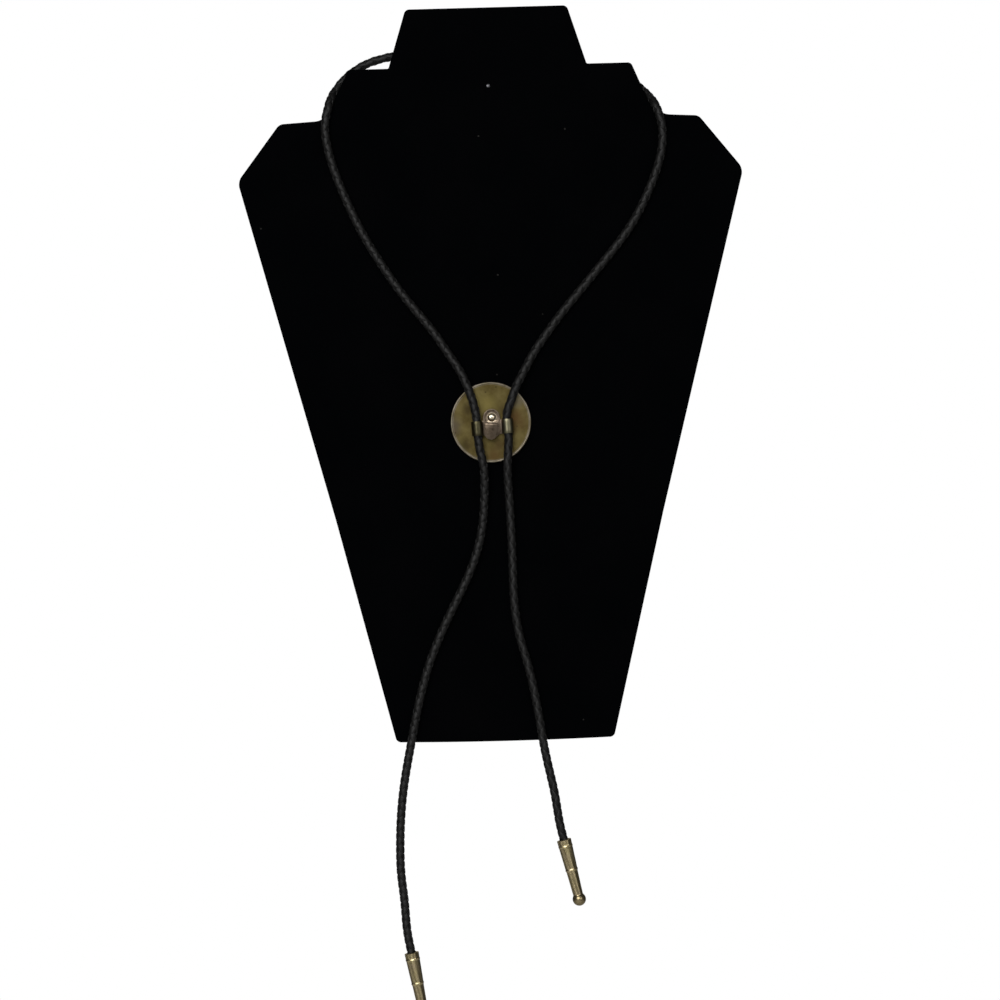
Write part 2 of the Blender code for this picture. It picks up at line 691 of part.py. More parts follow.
def main():
    clear_scene()
    velvet = new_material("black_velvet", (0.004, 0.004, 0.005), 0.95, 0.0)
    steel = new_material("pin_steel", (0.35, 0.35, 0.36), 0.4, 1.0)
    brass = new_material("tarnished_brass", (0.20, 0.15, 0.05), 0.45, 1.0)
    bronze = new_material("worn_nickel_bronze", (0.28, 0.22, 0.16), 0.38, 1.0)
    leather = new_material("black_leather", (0.012, 0.012, 0.013), 0.42, 0.0)
    tip_brass = new_material("antique_brass", (0.30, 0.24, 0.12), 0.35, 1.0)

    display_board(velvet)
    board_pin(steel)
    slide_disc(brass)
    bore_radius = HINGE_PIN_RADIUS + HINGE_BORE_CLEARANCE
    bore = hinge_rod("guide_hinge_bore", bore_radius, LEVER_HALF_WIDTH + LEVER_WALL)
    clip_body(bronze, bore)
    clip_lever(bronze, bore)
    clip_hinge_pin(bronze)
    bolo_cord(leather)
    cord_tip("tip_left", TIP_LEFT_MOUTH, TIP_LEFT_LEAN, tip_brass)
    cord_tip("tip_right", TIP_RIGHT_MOUTH, TIP_RIGHT_LEAN, tip_brass)


main()
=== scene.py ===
# %% [markdown]
# # A bolo tie on its display board
# A bolo tie is a braided leather cord that runs through the clasp of a slide, with a metal tip on
# each end. Here it hangs round a flat velvet display board, with the back of the slide facing out.
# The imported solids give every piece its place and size. This lesson dresses them: it braids the
# cord, turns the slide and the tips, bends the clasp from strip and covers the board in velvet.
# All lengths are in metres, +Z is up, and the board faces -Y.

# %% Load the frame
import math

import bmesh
import bpy
import numpy as np
from mathutils import Matrix, Vector


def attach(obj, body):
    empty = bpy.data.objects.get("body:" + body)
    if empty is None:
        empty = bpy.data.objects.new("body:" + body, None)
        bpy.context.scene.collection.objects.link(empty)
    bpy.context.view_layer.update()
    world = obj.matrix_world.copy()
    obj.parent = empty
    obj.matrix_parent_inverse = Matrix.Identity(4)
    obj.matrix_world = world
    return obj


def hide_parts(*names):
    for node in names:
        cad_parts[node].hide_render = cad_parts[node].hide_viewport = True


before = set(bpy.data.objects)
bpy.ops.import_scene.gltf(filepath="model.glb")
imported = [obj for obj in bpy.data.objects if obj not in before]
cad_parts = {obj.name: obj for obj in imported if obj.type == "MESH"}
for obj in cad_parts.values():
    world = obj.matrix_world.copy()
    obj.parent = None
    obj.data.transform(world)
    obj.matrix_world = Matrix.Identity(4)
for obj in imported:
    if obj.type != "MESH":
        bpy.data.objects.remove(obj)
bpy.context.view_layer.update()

MM = 0.001
MERGE_WITHIN = 0.001 * MM
LEVEL_WITHIN = 0.01 * MM
print("solids to dress:", ", ".join(sorted(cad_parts)))

# %% [markdown]
# ## The camera
# The photograph looks straight at the board from its own height, a little turned, so the board
# leans a degree and a half to the left. A long lens from 1.6 m keeps the outlines parallel. The
# lens length follows from the width that the picture shows at the board's front.

# %% Place the camera
CAMERA_AT = Vector((0.0004, -1.6, -0.1958))
BOARD_FRONT_Y = -4.0 * MM
PICTURE_WIDTH = 0.4726
PICTURE_TURN = math.radians(1.546)
SENSOR_WIDTH = 36.0

camera_data = bpy.data.cameras.new("camera")
camera_data.sensor_width = SENSOR_WIDTH
camera_data.lens = SENSOR_WIDTH * (BOARD_FRONT_Y - CAMERA_AT.y) / PICTURE_WIDTH
camera = bpy.data.objects.new("camera", camera_data)
look_ahead = Matrix.Rotation(math.radians(90), 4, "X")
turned = Matrix.Rotation(PICTURE_TURN, 4, "Y") @ look_ahead
camera.matrix_world = Matrix.Translation(CAMERA_AT) @ turned
bpy.context.scene.collection.objects.link(camera)
bpy.context.scene.camera = camera
print(f"lens {camera_data.lens:.1f} mm")

# %% [markdown]
# ## The cord's route
# The real cord is one length of 4 mm braided leather. It starts inside the left tip, climbs to the
# left loop of the clasp, goes round behind the neck of the board, and comes down through the right
# loop to the right tip. The solids were made on this same list of points, so the braid lies where
# they lie. The clasp and the tips are turned a few degrees, and three small functions give places
# on their own axes.

# %% Places on the clasp and the tips
GAP = 0.3 * MM
CORD_RADIUS = 2.0 * MM
DISC_THICKNESS, PLATE_THICKNESS = 2.1 * MM, 0.9 * MM
DISC_FACE_Y = BOARD_FRONT_Y - GAP - DISC_THICKNESS
PLATE_BACK_Y = DISC_FACE_Y - GAP
# The strip's back lies a little forward of the plate's, so that no two faces fall together
STRIP_THICKNESS, STRIP_FORWARD = 0.5 * MM, 0.05 * MM
LOOP_RADIUS = CORD_RADIUS + GAP + STRIP_THICKNESS / 2
LOOP_Y = PLATE_BACK_Y - STRIP_FORWARD - STRIP_THICKNESS / 2 - LOOP_RADIUS
LOOP_OFFSET = 7.15 * MM
CLIP_X, CLIP_Z = -2.2 * MM, -161.5 * MM
STRIP_TURN, PLATE_TURN = math.radians(3.5), math.radians(-3.5)
PLATE_FRONT_Y = PLATE_BACK_Y - PLATE_THICKNESS
PLATE_SHIFT, DISH_Z = -0.6 * MM, 4.8 * MM
FRONT_LANE = BOARD_FRONT_Y - GAP - CORD_RADIUS
BACK_LANE = CORD_RADIUS + GAP
TIPS = {
    "left": (Vector((-47.1 * MM, FRONT_LANE, -408.2 * MM)), math.radians(9.9)),
    "right": (Vector((26.2 * MM, FRONT_LANE, -356.8 * MM)), math.radians(13.0)),
}


def clip_place(across, depth, up, turn):
    """A place in the clasp, whose own axes are turned anticlockwise as seen from the front."""
    return Vector((
        CLIP_X + across * math.cos(turn) - up * math.sin(turn),
        depth,
        CLIP_Z + across * math.sin(turn) + up * math.cos(turn),
    ))


def loop_place(side, up):
    """The point this far up the axis of the clasp's left (-1) or right (1) loop."""
    return clip_place(side * LOOP_OFFSET, LOOP_Y, up, STRIP_TURN)


def tip_place(side, down):
    """The point this far below a tip's mouth on its axis."""
    mouth, lean = TIPS[side]
    return mouth + Vector((math.sin(lean), 0.0, -math.cos(lean))) * down


print("left loop at", tuple(round(c, 4) for c in loop_place(-1, 0.0)))

# %% The points from tip to tip
LEFT_TAIL = [(x, FRONT_LANE, z) for x, z in (
    (-0.0498, -0.3831), (-0.0509, -0.3717), (-0.0511, -0.3600), (-0.0506, -0.3480),
    (-0.0494, -0.3355), (-0.0474, -0.3231), (-0.0447, -0.3100), (-0.0420, -0.2972),
    (-0.0391, -0.2855), (-0.0357, -0.2742), (-0.0305, -0.2611), (-0.0249, -0.2494),
    (-0.0165, -0.2331), (-0.0096, -0.2144),
)]
UP_TO_LEFT_LOOP = [
    (-0.0072, -0.0066, -0.1985), (-0.0067, -0.0078, -0.1880), (-0.0071, -0.0093, -0.1785),
    (-0.0083, LOOP_Y, -0.1725),
]
OVER_SLIDE_LEFT = [
    (-0.0112, -0.0095, -0.1491), (-0.0138, -0.0091, -0.1414), (-0.0173, -0.0080, -0.1338),
    (-0.0216, -0.0068, -0.1270),
]
LEFT_RUN = [(x, FRONT_LANE, z) for x, z in (
    (-0.0281, -0.1169), (-0.0432, -0.0973), (-0.0488, -0.0891), (-0.0543, -0.0803),
    (-0.0606, -0.0693), (-0.0667, -0.0564), (-0.0712, -0.0453), (-0.0748, -0.0345),
    (-0.0769, -0.0250), (-0.0774, -0.0163),
)]
BEHIND_NECK = [
    (-0.0763, -0.0062, -0.0106), (-0.0753, -0.0050, -0.0068), (-0.0742, -0.0022, -0.0034),
    (-0.0723, 0.0011, 0.0002), (-0.0697, 0.0023, 0.0037), (-0.0657, 0.0024, 0.0076),
    (-0.0611, 0.0024, 0.0107), (-0.0562, 0.0024, 0.0131), (-0.0513, 0.0024, 0.0146),
    (-0.0450, 0.0024, 0.0159), (-0.0340, BACK_LANE, 0.0164),
    (-0.0190, BACK_LANE, 0.0157), (0.0000, BACK_LANE, 0.0138), (0.0190, BACK_LANE, 0.0113),
    (0.0360, BACK_LANE, 0.0086), (0.0500, BACK_LANE, 0.0060), (0.0600, BACK_LANE, 0.0036),
    (0.0662, 0.0025, 0.0016), (0.0712, 0.0025, -0.0013), (0.0750, 0.0014, -0.0051),
    (0.0775, -0.0020, -0.0085), (0.0793, -0.0055, -0.0125), (0.0807, -0.0064, -0.0168),
]
RIGHT_RUN = [(x, FRONT_LANE, z) for x, z in (
    (0.0817, -0.0228), (0.0813, -0.0310), (0.0783, -0.0423), (0.0731, -0.0544),
    (0.0669, -0.0658), (0.0599, -0.0755), (0.0509, -0.0862), (0.0401, -0.0987),
    (0.0315, -0.1087), (0.0242, -0.1182),
)]
OVER_SLIDE_RIGHT = [
    (0.0181, -0.0066, -0.1268), (0.0130, -0.0078, -0.1358), (0.0090, -0.0091, -0.1435),
    (0.0063, -0.0095, -0.1505),
]
DOWN_FROM_RIGHT_LOOP = [
    (0.0049, LOOP_Y, -0.1725), (0.0044, -0.0093, -0.1790), (0.0044, -0.0078, -0.1870),
    (0.0048, -0.0066, -0.1965),
]
RIGHT_TAIL = [(x, FRONT_LANE, z) for x, z in (
    (0.0052, -0.2080), (0.0055, -0.2243), (0.0058, -0.2432), (0.0079, -0.2600),
    (0.0114, -0.2736), (0.0142, -0.2869), (0.0160, -0.2980), (0.0175, -0.3087),
    (0.0199, -0.3221), (0.0226, -0.3358),
)]
CORD_SEAT = 7.0 * MM
LOOP_REACH = 5.0 * MM
ABOVE_LEFT_TIP, ABOVE_RIGHT_TIP = 9.0 * MM, 6.0 * MM

CORD_ROUTE = (
    [tip_place("left", down) for down in (CORD_SEAT, 0.0, -ABOVE_LEFT_TIP)]
    + LEFT_TAIL + UP_TO_LEFT_LOOP
    + [loop_place(-1, up) for up in (-LOOP_REACH, 0.0, LOOP_REACH)]
    + OVER_SLIDE_LEFT + LEFT_RUN + BEHIND_NECK + RIGHT_RUN + OVER_SLIDE_RIGHT
    + [loop_place(1, up) for up in (LOOP_REACH, 0.0, -LOOP_REACH)]
    + DOWN_FROM_RIGHT_LOOP + RIGHT_TAIL
    + [tip_place("right", down) for down in (-ABOVE_RIGHT_TIP, 0.0, CORD_SEAT)]
)
print(len(CORD_ROUTE), "points on the route")

# %% [markdown]
# Leather bends without kinks, so the line through the points is a natural cubic spline, the curve
# that a thin springy strip takes when it is held at those points. It is then walked in equal steps.
# A braid also needs two directions square to the line at each step. They are carried along from
# step to step without spin, or the braid would twist wherever the cord bends.

# %% A smooth line, even steps and carried directions
def springy_line(points, samples=24):
    """A natural cubic spline through the points, as closely spaced samples."""
    points = np.array(points)
    spans = np.linalg.norm(np.diff(points, axis=0), axis=1)
    slopes = np.diff(points, axis=0) / spans[:, None]
    system, right = np.eye(len(points)), np.zeros((len(points), 3))
    for i in range(1, len(spans)):
        system[i, i - 1:i + 2] = spans[i - 1], 2 * (spans[i - 1] + spans[i]), spans[i]
        right[i] = 6 * (slopes[i] - slopes[i - 1])
    bends = np.linalg.solve(system, right)
    line = []
    for i, span in enumerate(spans):
        gone = (np.arange(samples) / samples * span)[:, None]
        left = span - gone
        line.append(
            (bends[i] * left**3 + bends[i + 1] * gone**3) / (6 * span)
            + (points[i] / span - bends[i] * span / 6) * left
            + (points[i + 1] / span - bends[i + 1] * span / 6) * gone
        )
    return np.vstack(line + [points[-1:]])


def even_steps(line, step):
    """The line again in equal steps, and how far along it each one is."""
    along = np.concatenate([[0.0], np.cumsum(np.linalg.norm(np.diff(line, axis=0), axis=1))])
    walked = np.linspace(0.0, along[-1], round(along[-1] / step) + 1)
    return np.stack([np.interp(walked, along, line[:, k]) for k in range(3)], axis=1), walked


def carried_directions(line):
    """Two directions square to the line at each of its points, which don't spin as it bends."""
    ahead = np.gradient(line, axis=0)
    ahead /= np.linalg.norm(ahead, axis=1)[:, None]
    side = np.zeros_like(ahead)
    side[0] = np.cross(ahead[0], (0.0, 1.0, 0.0))
    for i in range(1, len(line)):
        carried = side[i - 1] - ahead[i] * (side[i - 1] @ ahead[i])
        side[i] = carried / np.linalg.norm(carried)
    return side, np.cross(ahead, side)


BRAID_STEP = 0.66 * MM
cord_line, cord_along = even_steps(springy_line(CORD_ROUTE), BRAID_STEP)
cord_side, cord_front = carried_directions(cord_line)
print(f"cord {cord_along[-1]:.4f} m in {len(cord_line)} steps")

# %% [markdown]
# ## Making a piece and a finish
# Every piece ends the same way: its faces are turned outwards, it becomes an object, it rides on a
# body of the frame and the solids it stands for are hidden. One function does that and says how
# many triangles the piece has. Colours are read off as hex codes, which are for the screen, and
# shaders want linear light, so one function turns them. Another adds any node with its settings and
# links.
# A pattern's scale is how many of its cells lie in a metre, so it follows from their real size.

# %% Finish a piece
def finish_piece(name, bm, finish, nodes, body="board_and_tie", sharp=35):
    """Turns a bmesh into a smooth-shaded piece that rides on a body and replaces solids."""
    bmesh.ops.recalc_face_normals(bm, faces=bm.faces)
    mesh = bpy.data.meshes.new(name)
    bm.to_mesh(mesh)
    bm.free()
    mesh.shade_smooth()
    mesh.set_sharp_from_angle(angle=math.radians(sharp))
    mesh.materials.append(finish)
    piece = bpy.data.objects.new(name, mesh)
    bpy.context.scene.collection.objects.link(piece)
    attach(piece, body)
    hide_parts(*nodes)
    print(name, sum(len(face.vertices) - 2 for face in mesh.polygons), "triangles")
    return piece


# %% Colours and nodes
def linear(code):
    """An sRGB hex colour as the linear colour that a socket takes."""
    parts = [int(code[i:i + 2], 16) / 255 for i in (1, 3, 5)]
    return [c / 12.92 if c <= 0.04045 else ((c + 0.055) / 1.055) ** 2.4 for c in parts] + [1.0]


def new_finish(name):
    """An empty material, ready for its nodes."""
    finish = bpy.data.materials.new(name)
    finish.use_nodes = True
    finish.node_tree.nodes.clear()
    return finish


def add_node(finish, kind, settings=(), links=()):
    """Adds a node. Settings are its own properties or its sockets' values, and links feed sockets."""
    node = finish.node_tree.nodes.new("ShaderNode" + kind)
    for name, value in dict(settings).items():
        if isinstance(name, str) and hasattr(node, name):
            setattr(node, name, value)
        else:
            node.inputs[name].default_value = value
    for name, source in dict(links).items():
        finish.node_tree.links.new(source, node.inputs[name])
    return node


print("#808080 is", round(linear("#808080")[0], 3), "in linear light")

# %% [markdown]
# ## Black leather
# Bolo cord is braided from dyed cowhide laces with a waxed top. Dyed through, it is a soft black
# rather than a deep one, and the wax gives each crown of the braid a long narrow highlight. The
# grain is fine pebbling about half a millimetre across, which only roughens the gloss.

# %% Finish: waxed leather lace
# Cells in a metre: clouds in the dye are 11 mm across, the pebbles 0.5 mm
DYE_CLOUDS, PEBBLES = 90.0, 2000.0
leather = new_finish("waxed_black_leather")
place = add_node(leather, "TexCoord").outputs["Object"]
dye = add_node(leather, "TexNoise", {"Scale": DYE_CLOUDS, "Detail": 3.0}, {"Vector": place})
grain = add_node(
    leather, "TexNoise", {"Scale": PEBBLES, "Detail": 2.0, "Roughness": 0.6}, {"Vector": place}
)
colour = add_node(
    leather, "Mix", {"data_type": "RGBA", 6: linear("#050505"), 7: linear("#0c0b0a")},
    {0: dye.outputs["Fac"]},
)
gloss = add_node(
    leather, "MapRange", {"To Min": 0.48, "To Max": 0.64}, {"Value": grain.outputs["Fac"]}
)
relief = add_node(
    leather, "Bump", {"Strength": 0.25, "Distance": 0.05 * MM}, {"Height": grain.outputs["Fac"]}
)
shader = add_node(
    leather, "BsdfPrincipled", {"IOR": 1.43},
    {"Base Color": colour.outputs[2], "Roughness": gloss.outputs[0], "Normal": relief.outputs[0]},
)
add_node(leather, "OutputMaterial", {}, {"Surface": shader.outputs[0]})
print(leather.name, "from", len(leather.node_tree.nodes), "nodes")

# %% [markdown]
# ## The braid
# A round four-strand braid is two laces that wind one way and two that wind the other, each going
# over and under the ones it meets. Seen from outside, the laces show as rows of slanted crowns, one
# every half turn. It could be faked with bump on a tube, but the outline would stay straight.
# Here each lace is a long flat grid, which is then rolled: one side of the grid runs along the
# cord, and the other goes round the lace's own section. How far out a lace lies rises and falls
# along its way, a quarter turn out of step with the laces that wind against it.

# %% Roll four laces and a core along the line
# The length of one full turn, how far out the laces lie, and how far they rise and fall
BRAID_TURN, BRAID_MIDDLE, BRAID_RISE = 13.2 * MM, 1.56 * MM, 0.15 * MM
# A lace runs straighter where it lies on top: its angle swings this many radians off an even turn
BRAID_STRAIGHTEN = 0.20
BRAID_START = math.radians(45)
LACE_THICKNESS = 0.84 * MM
LACE_HALF_ANGLE = math.radians(64)
CORE_RADIUS = 1.50 * MM
# The lace's section: how far across, and how far out, from one edge over the top and back below
LACE_SECTION = np.array([
    (-1.0, -0.1), (-0.95, 0.45), (-0.78, 0.84), (-0.36, 1.0), (0.36, 1.0), (0.78, 0.84),
    (0.95, 0.45), (1.0, -0.1), (0.6, -0.9), (-0.6, -0.9), (-1.0, -0.1),
])


def flat_grid(bm, along, around):
    """Adds a flat grid, and says which step along and around each of its corners is."""
    grid = bmesh.ops.create_grid(
        bm, x_segments=along, y_segments=around, size=1.0, calc_uvs=True
    )["verts"]
    flat = np.array([v.co for v in grid])
    return grid, *np.rint((flat[:, :2].T + 1) / 2 * [[along], [around]]).astype(int)


def roll_grid(grid, i, radius, angle):
    """Puts the grid's corners round the cord's line, at their radius and angle."""
    square = np.cos(angle)[:, None] * cord_side[i] + np.sin(angle)[:, None] * cord_front[i]
    for vert, at in zip(grid, cord_line[i] + radius[:, None] * square):
        vert.co = at


def roll_lace(bm, way, start):
    """Adds one lace that winds one way (1) or the other (-1) from a starting angle."""
    grid, i, j = flat_grid(bm, len(cord_line) - 1, len(LACE_SECTION) - 1)
    wind = math.tau * cord_along[i] / BRAID_TURN
    across, out = LACE_SECTION[j].T
    angle = start + way * wind - BRAID_STRAIGHTEN * np.sin(2 * wind) + across * LACE_HALF_ANGLE
    radius = BRAID_MIDDLE + BRAID_RISE * way * np.cos(2 * wind) + out * LACE_THICKNESS / 2
    roll_grid(grid, i, radius, angle)


def roll_core(bm, sides=8, skip=2):
    """Adds the round filler that the laces are braided over."""
    kept = np.arange(0, len(cord_line), skip)
    grid, i, j = flat_grid(bm, len(kept) - 1, sides)
    roll_grid(grid, kept[i], np.full(len(grid), CORE_RADIUS), math.tau * j / sides)


bm = bmesh.new()
bm.loops.layers.uv.new("along_lace")
for way in (1, -1):
    for start in (BRAID_START, BRAID_START + math.pi):
        roll_lace(bm, way, start)
roll_core(bm)
bmesh.ops.remove_doubles(bm, verts=bm.verts, dist=MERGE_WITHIN)
bmesh.ops.holes_fill(bm, edges=[e for e in bm.edges if e.is_boundary], sides=0)
braided_cord = finish_piece("braided_cord", bm, leather, ["bolo_cord"], sharp=60)

# %% [markdown]
# ## Cast brass tips
# Each tip is a hollow brass casting that slips over the cord's end: a tube in two tapers with a
# ridge between them, and a ball at the bottom. It could be modelled flat and bent round, but a
# round thing is quickest to spin. The profile is spun first, and then the skin is pushed in
# and out for the cast pattern: a crimped collar at the mouth, and shallow leaning flutes below it.
# How deep each point lies is kept as an attribute, because the casting's hollows hold the tarnish.

# %% Finish: antique cast brass
# Cells in a metre: the clouds of tarnish are 3.8 mm across
CAST_CLOUDS = 260.0
cast_brass = new_finish("antique_cast_brass")
place = add_node(cast_brass, "TexCoord").outputs["Object"]
hollow = add_node(cast_brass, "Attribute", {"attribute_name": "hollow"})
cloud = add_node(
    cast_brass, "TexNoise", {"Scale": CAST_CLOUDS, "Detail": 4.0, "Roughness": 0.6}, {"Vector": place}
)
warm = add_node(
    cast_brass, "Mix", {"data_type": "RGBA", 6: linear("#dacd8e"), 7: linear("#d6c0a8")},
    {0: cloud.outputs["Fac"]},
)
tarnish = add_node(
    cast_brass, "Mix", {"data_type": "RGBA", 7: linear("#55492b")},
    {0: hollow.outputs["Fac"], 6: warm.outputs[2]},
)
gloss = add_node(
    cast_brass, "MapRange", {"To Min": 0.24, "To Max": 0.36}, {"Value": cloud.outputs["Fac"]}
)
relief = add_node(
    cast_brass, "Bump", {"Strength": 0.12, "Distance": 0.05 * MM}, {"Height": cloud.outputs["Fac"]}
)
shader = add_node(
    cast_brass, "BsdfPrincipled", {"Metallic": 1.0},
    {"Base Color": tarnish.outputs[2], "Roughness": gloss.outputs[0], "Normal": relief.outputs[0]},
)
add_node(cast_brass, "OutputMaterial", {}, {"Surface": shader.outputs[0]})
print(cast_brass.name, "from", len(cast_brass.node_tree.nodes), "nodes")


# %% Spin a profile
def arc(centre, radius, start, end, steps):
    """Points on an arc about a centre, with both ends."""
    angles = [start + (end - start) * i / steps for i in range(steps + 1)]
    return [(centre[0] + radius * math.cos(a), centre[1] + radius * math.sin(a)) for a in angles]


def spin_profile(bm, rows, steps):
    """Spins a profile of (radius, height) points round Z into a closed skin."""
    verts = [bm.verts.new((radius, 0.0, height)) for radius, height in rows]
    edges = [bm.edges.new(pair) for pair in zip(verts, verts[1:])]
    bmesh.ops.spin(
        bm, geom=verts + edges, cent=(0, 0, 0), axis=(0, 0, 1), angle=math.tau, steps=steps,
        use_merge=True,
    )
    bmesh.ops.remove_doubles(bm, verts=bm.verts, dist=MERGE_WITHIN)


# %% The tip's profile
TIP_MOUTH_RADIUS, TIP_RIDGE_RADIUS, TIP_NECK_RADIUS = 3.4 * MM, 2.95 * MM, 2.4 * MM
TIP_COLLAR_END, TIP_RIDGE_AT, TIP_NECK_AT = 3.2 * MM, 14.8 * MM, 26.9 * MM
TIP_BALL_RADIUS, TIP_BALL_AT = 3.15 * MM, 29.0 * MM
TIP_BORE_RADIUS, TIP_BORE_DEPTH = CORD_RADIUS + GAP, 9.0 * MM
# Where the upper taper ends and the lower one starts, and the height and width of the two beads
UPPER_TAPER_END, LOWER_TAPER_START = TIP_RIDGE_RADIUS - 0.1 * MM, TIP_RIDGE_RADIUS - 0.2 * MM
COLLAR_BEAD, RIDGE_BEAD = (0.18 * MM, 0.35 * MM), (0.22 * MM, 0.40 * MM)
# The profile's rows in mm below the mouth
FIRST_ROW, ROW_STEP = 0.2, 0.3


def tip_rows():
    """The tip's profile from the floor of its bore, out over the mouth and down to the ball."""
    rows = [(0.0, TIP_BORE_DEPTH), (TIP_BORE_RADIUS, TIP_BORE_DEPTH), (TIP_BORE_RADIUS, 0.3 * MM)]
    rows += [(TIP_BORE_RADIUS + 0.2 * MM, 0.0), (TIP_MOUTH_RADIUS - 0.25 * MM, 0.0)]
    for down in np.arange(FIRST_ROW, TIP_NECK_AT / MM, ROW_STEP) * MM:
        if down < TIP_RIDGE_AT:
            share = down / TIP_RIDGE_AT
            radius = TIP_MOUTH_RADIUS + (UPPER_TAPER_END - TIP_MOUTH_RADIUS) * share
        else:
            share = (down - TIP_RIDGE_AT) / (TIP_NECK_AT - TIP_RIDGE_AT)
            radius = LOWER_TAPER_START + (TIP_NECK_RADIUS - LOWER_TAPER_START) * share
        for middle, (height, width) in ((TIP_COLLAR_END, COLLAR_BEAD), (TIP_RIDGE_AT, RIDGE_BEAD)):
            radius += height * math.exp(-((down - middle) / width) ** 2)
        rows.append((radius, down))
    start = math.asin(TIP_NECK_RADIUS / TIP_BALL_RADIUS)
    ball = arc((0.0, 0.0), TIP_BALL_RADIUS, start, math.pi, 16)
    rows += [(y, TIP_BALL_AT - x) for x, y in ball[:-1]]
    return rows + [(0.0, TIP_BALL_AT + TIP_BALL_RADIUS)]


print(len(tip_rows()), "points in the tip's profile")

# %% The tips
FLUTES, SHAFT_FLUTES = 12, 8
FLUTE_DEPTH = 0.07 * MM
FLUTE_LEAN = 0.02 / MM
COLLAR_FADE, SHAFT_FADE = 0.6 * MM, 0.8 * MM
SKIN_MARGIN = 0.1 * MM
FLUTE_TARNISH, BALL_TARNISH = 0.6, 0.55


def press_flutes(bm):
    """Presses the cast pattern into the outer skin, and keeps how deep each point lies."""
    hollow = bm.verts.layers.float.new("hollow")
    for vert in bm.verts:
        reach, down = vert.co.xy.length, vert.co.z
        if down > TIP_NECK_AT:
            vert[hollow] = BALL_TARNISH
        if reach < TIP_NECK_RADIUS - SKIN_MARGIN or not SKIN_MARGIN <= down <= TIP_NECK_AT:
            continue
        if down < TIP_BORE_DEPTH + SKIN_MARGIN and reach < TIP_BORE_RADIUS + SKIN_MARGIN:
            continue
        angle = math.atan2(vert.co.y, vert.co.x)
        if down < TIP_COLLAR_END:
            wave = math.cos(angle * FLUTES)
            fade = min(1.0, (TIP_COLLAR_END - down) / COLLAR_FADE)
        else:
            wave = math.cos((angle + (down - TIP_COLLAR_END) * FLUTE_LEAN) * SHAFT_FLUTES)
            fade = min(1.0, (down - TIP_COLLAR_END) / SHAFT_FADE, abs(down - TIP_RIDGE_AT) / SHAFT_FADE)
        deep = (0.5 - 0.5 * wave) * fade
        vert.co.xy *= 1.0 - FLUTE_DEPTH * deep / reach
        vert[hollow] = FLUTE_TARNISH * deep


for side, (mouth, lean) in TIPS.items():
    bm = bmesh.new()
    spin_profile(bm, tip_rows(), steps=72)
    press_flutes(bm)
    place = Matrix.Translation(mouth) @ Matrix.Rotation(math.pi - lean, 4, "Y")
    bmesh.ops.transform(bm, matrix=place, verts=bm.verts)
    finish_piece(f"{side}_tip", bm, cast_brass, [f"tip_{side}"])

# %% [markdown]
# Both of the cord's ends sit in the tips.

# %% [markdown]
# ## The velvet board
# The display board is stiff card in one flat shape, neck, step and shoulders together, with rayon
# velvet glued over it. Velvet is a pile of upright threads that swallow light seen straight on and
# catch a little at grazing angles, which is what the sheen of the shader is for. Its edge is soft,
# because the pile stands out round the corner. Pile and glue also fill the inner corners beside the
# cord a little more than the bare solid's. The outline is a few corner points: a face is made on
# them, its corners are beveled each with its own radius, and the face is then pulled to thickness.

# %% Finish: rayon velvet
# Cells in a metre: tufts of pile 0.7 mm across, brush marks 36 mm, and a speck of lint each 24 mm.
# The real pile is three times finer, too fine to show.
TUFTS, BRUSH_MARKS, LINT = 1400.0, 28.0, 42.0
velvet = new_finish("black_rayon_velvet")
place = add_node(velvet, "TexCoord").outputs["Object"]
pile = add_node(velvet, "TexNoise", {"Scale": TUFTS, "Detail": 2.0}, {"Vector": place})
brushed = add_node(velvet, "TexNoise", {"Scale": BRUSH_MARKS, "Detail": 3.0}, {"Vector": place})
lint = add_node(velvet, "TexVoronoi", {"Scale": LINT}, {"Vector": place})
speck = add_node(
    velvet, "MapRange", {"From Min": 0.012, "From Max": 0.024, "To Min": 1.0, "To Max": 0.0},
    {"Value": lint.outputs["Distance"]},
)
cloth = add_node(
    velvet, "Mix", {"data_type": "RGBA", 6: linear("#020304"), 7: linear("#060607")},
    {0: brushed.outputs["Fac"]},
)
dusty = add_node(
    velvet, "Mix", {"data_type": "RGBA", 7: linear("#2c2b29")},
    {0: speck.outputs[0], 6: cloth.outputs[2]},
)
relief = add_node(
    velvet, "Bump", {"Strength": 0.5, "Distance": 0.3 * MM}, {"Height": pile.outputs["Fac"]}
)
shader = add_node(
    velvet, "BsdfPrincipled",
    {"Roughness": 1.0, "Specular IOR Level": 0.0, "Sheen Weight": 0.05, "Sheen Roughness": 0.35,
     "Sheen Tint": linear("#7a7a80")},
    {"Base Color": dusty.outputs[2], "Normal": relief.outputs[0]},
)
add_node(velvet, "OutputMaterial", {}, {"Surface": shader.outputs[0]})
print(velvet.name, "from", len(velvet.node_tree.nodes), "nodes")

# %% The board's outline
BOARD_THICKNESS = 4.0 * MM
BOARD_EDGE_RADIUS = 1.4 * MM
# The bottom edge bows down a little, in this many steps
BOTTOM_BOW, BOW_STEPS = 0.7 * MM, 12
# Distance from the middle, height and corner radius in mm, from the neck's top down to the bottom
RIGHT_CORNERS = [
    (38.2, 37.3, 2.5), (46.9, 9.5, 0.8), (67.9, 9.5, 2.2), (78.2, -15.2, 12.0),
    (99.2, -16.4, 4.0), (119.6, -42.1, 6.0), (77.5, -203.0, 0.0), (51.4, -309.1, 2.5),
]
# The board isn't cut evenly: its left step is narrower and its left shoulder higher
LEFT_CORNERS = RIGHT_CORNERS.copy()
LEFT_CORNERS[2:5] = (65.9, 9.5, 2.2), (77.3, -14.2, 8.0), (99.2, -15.4, 4.0)
print(len(RIGHT_CORNERS), "corners on each side")


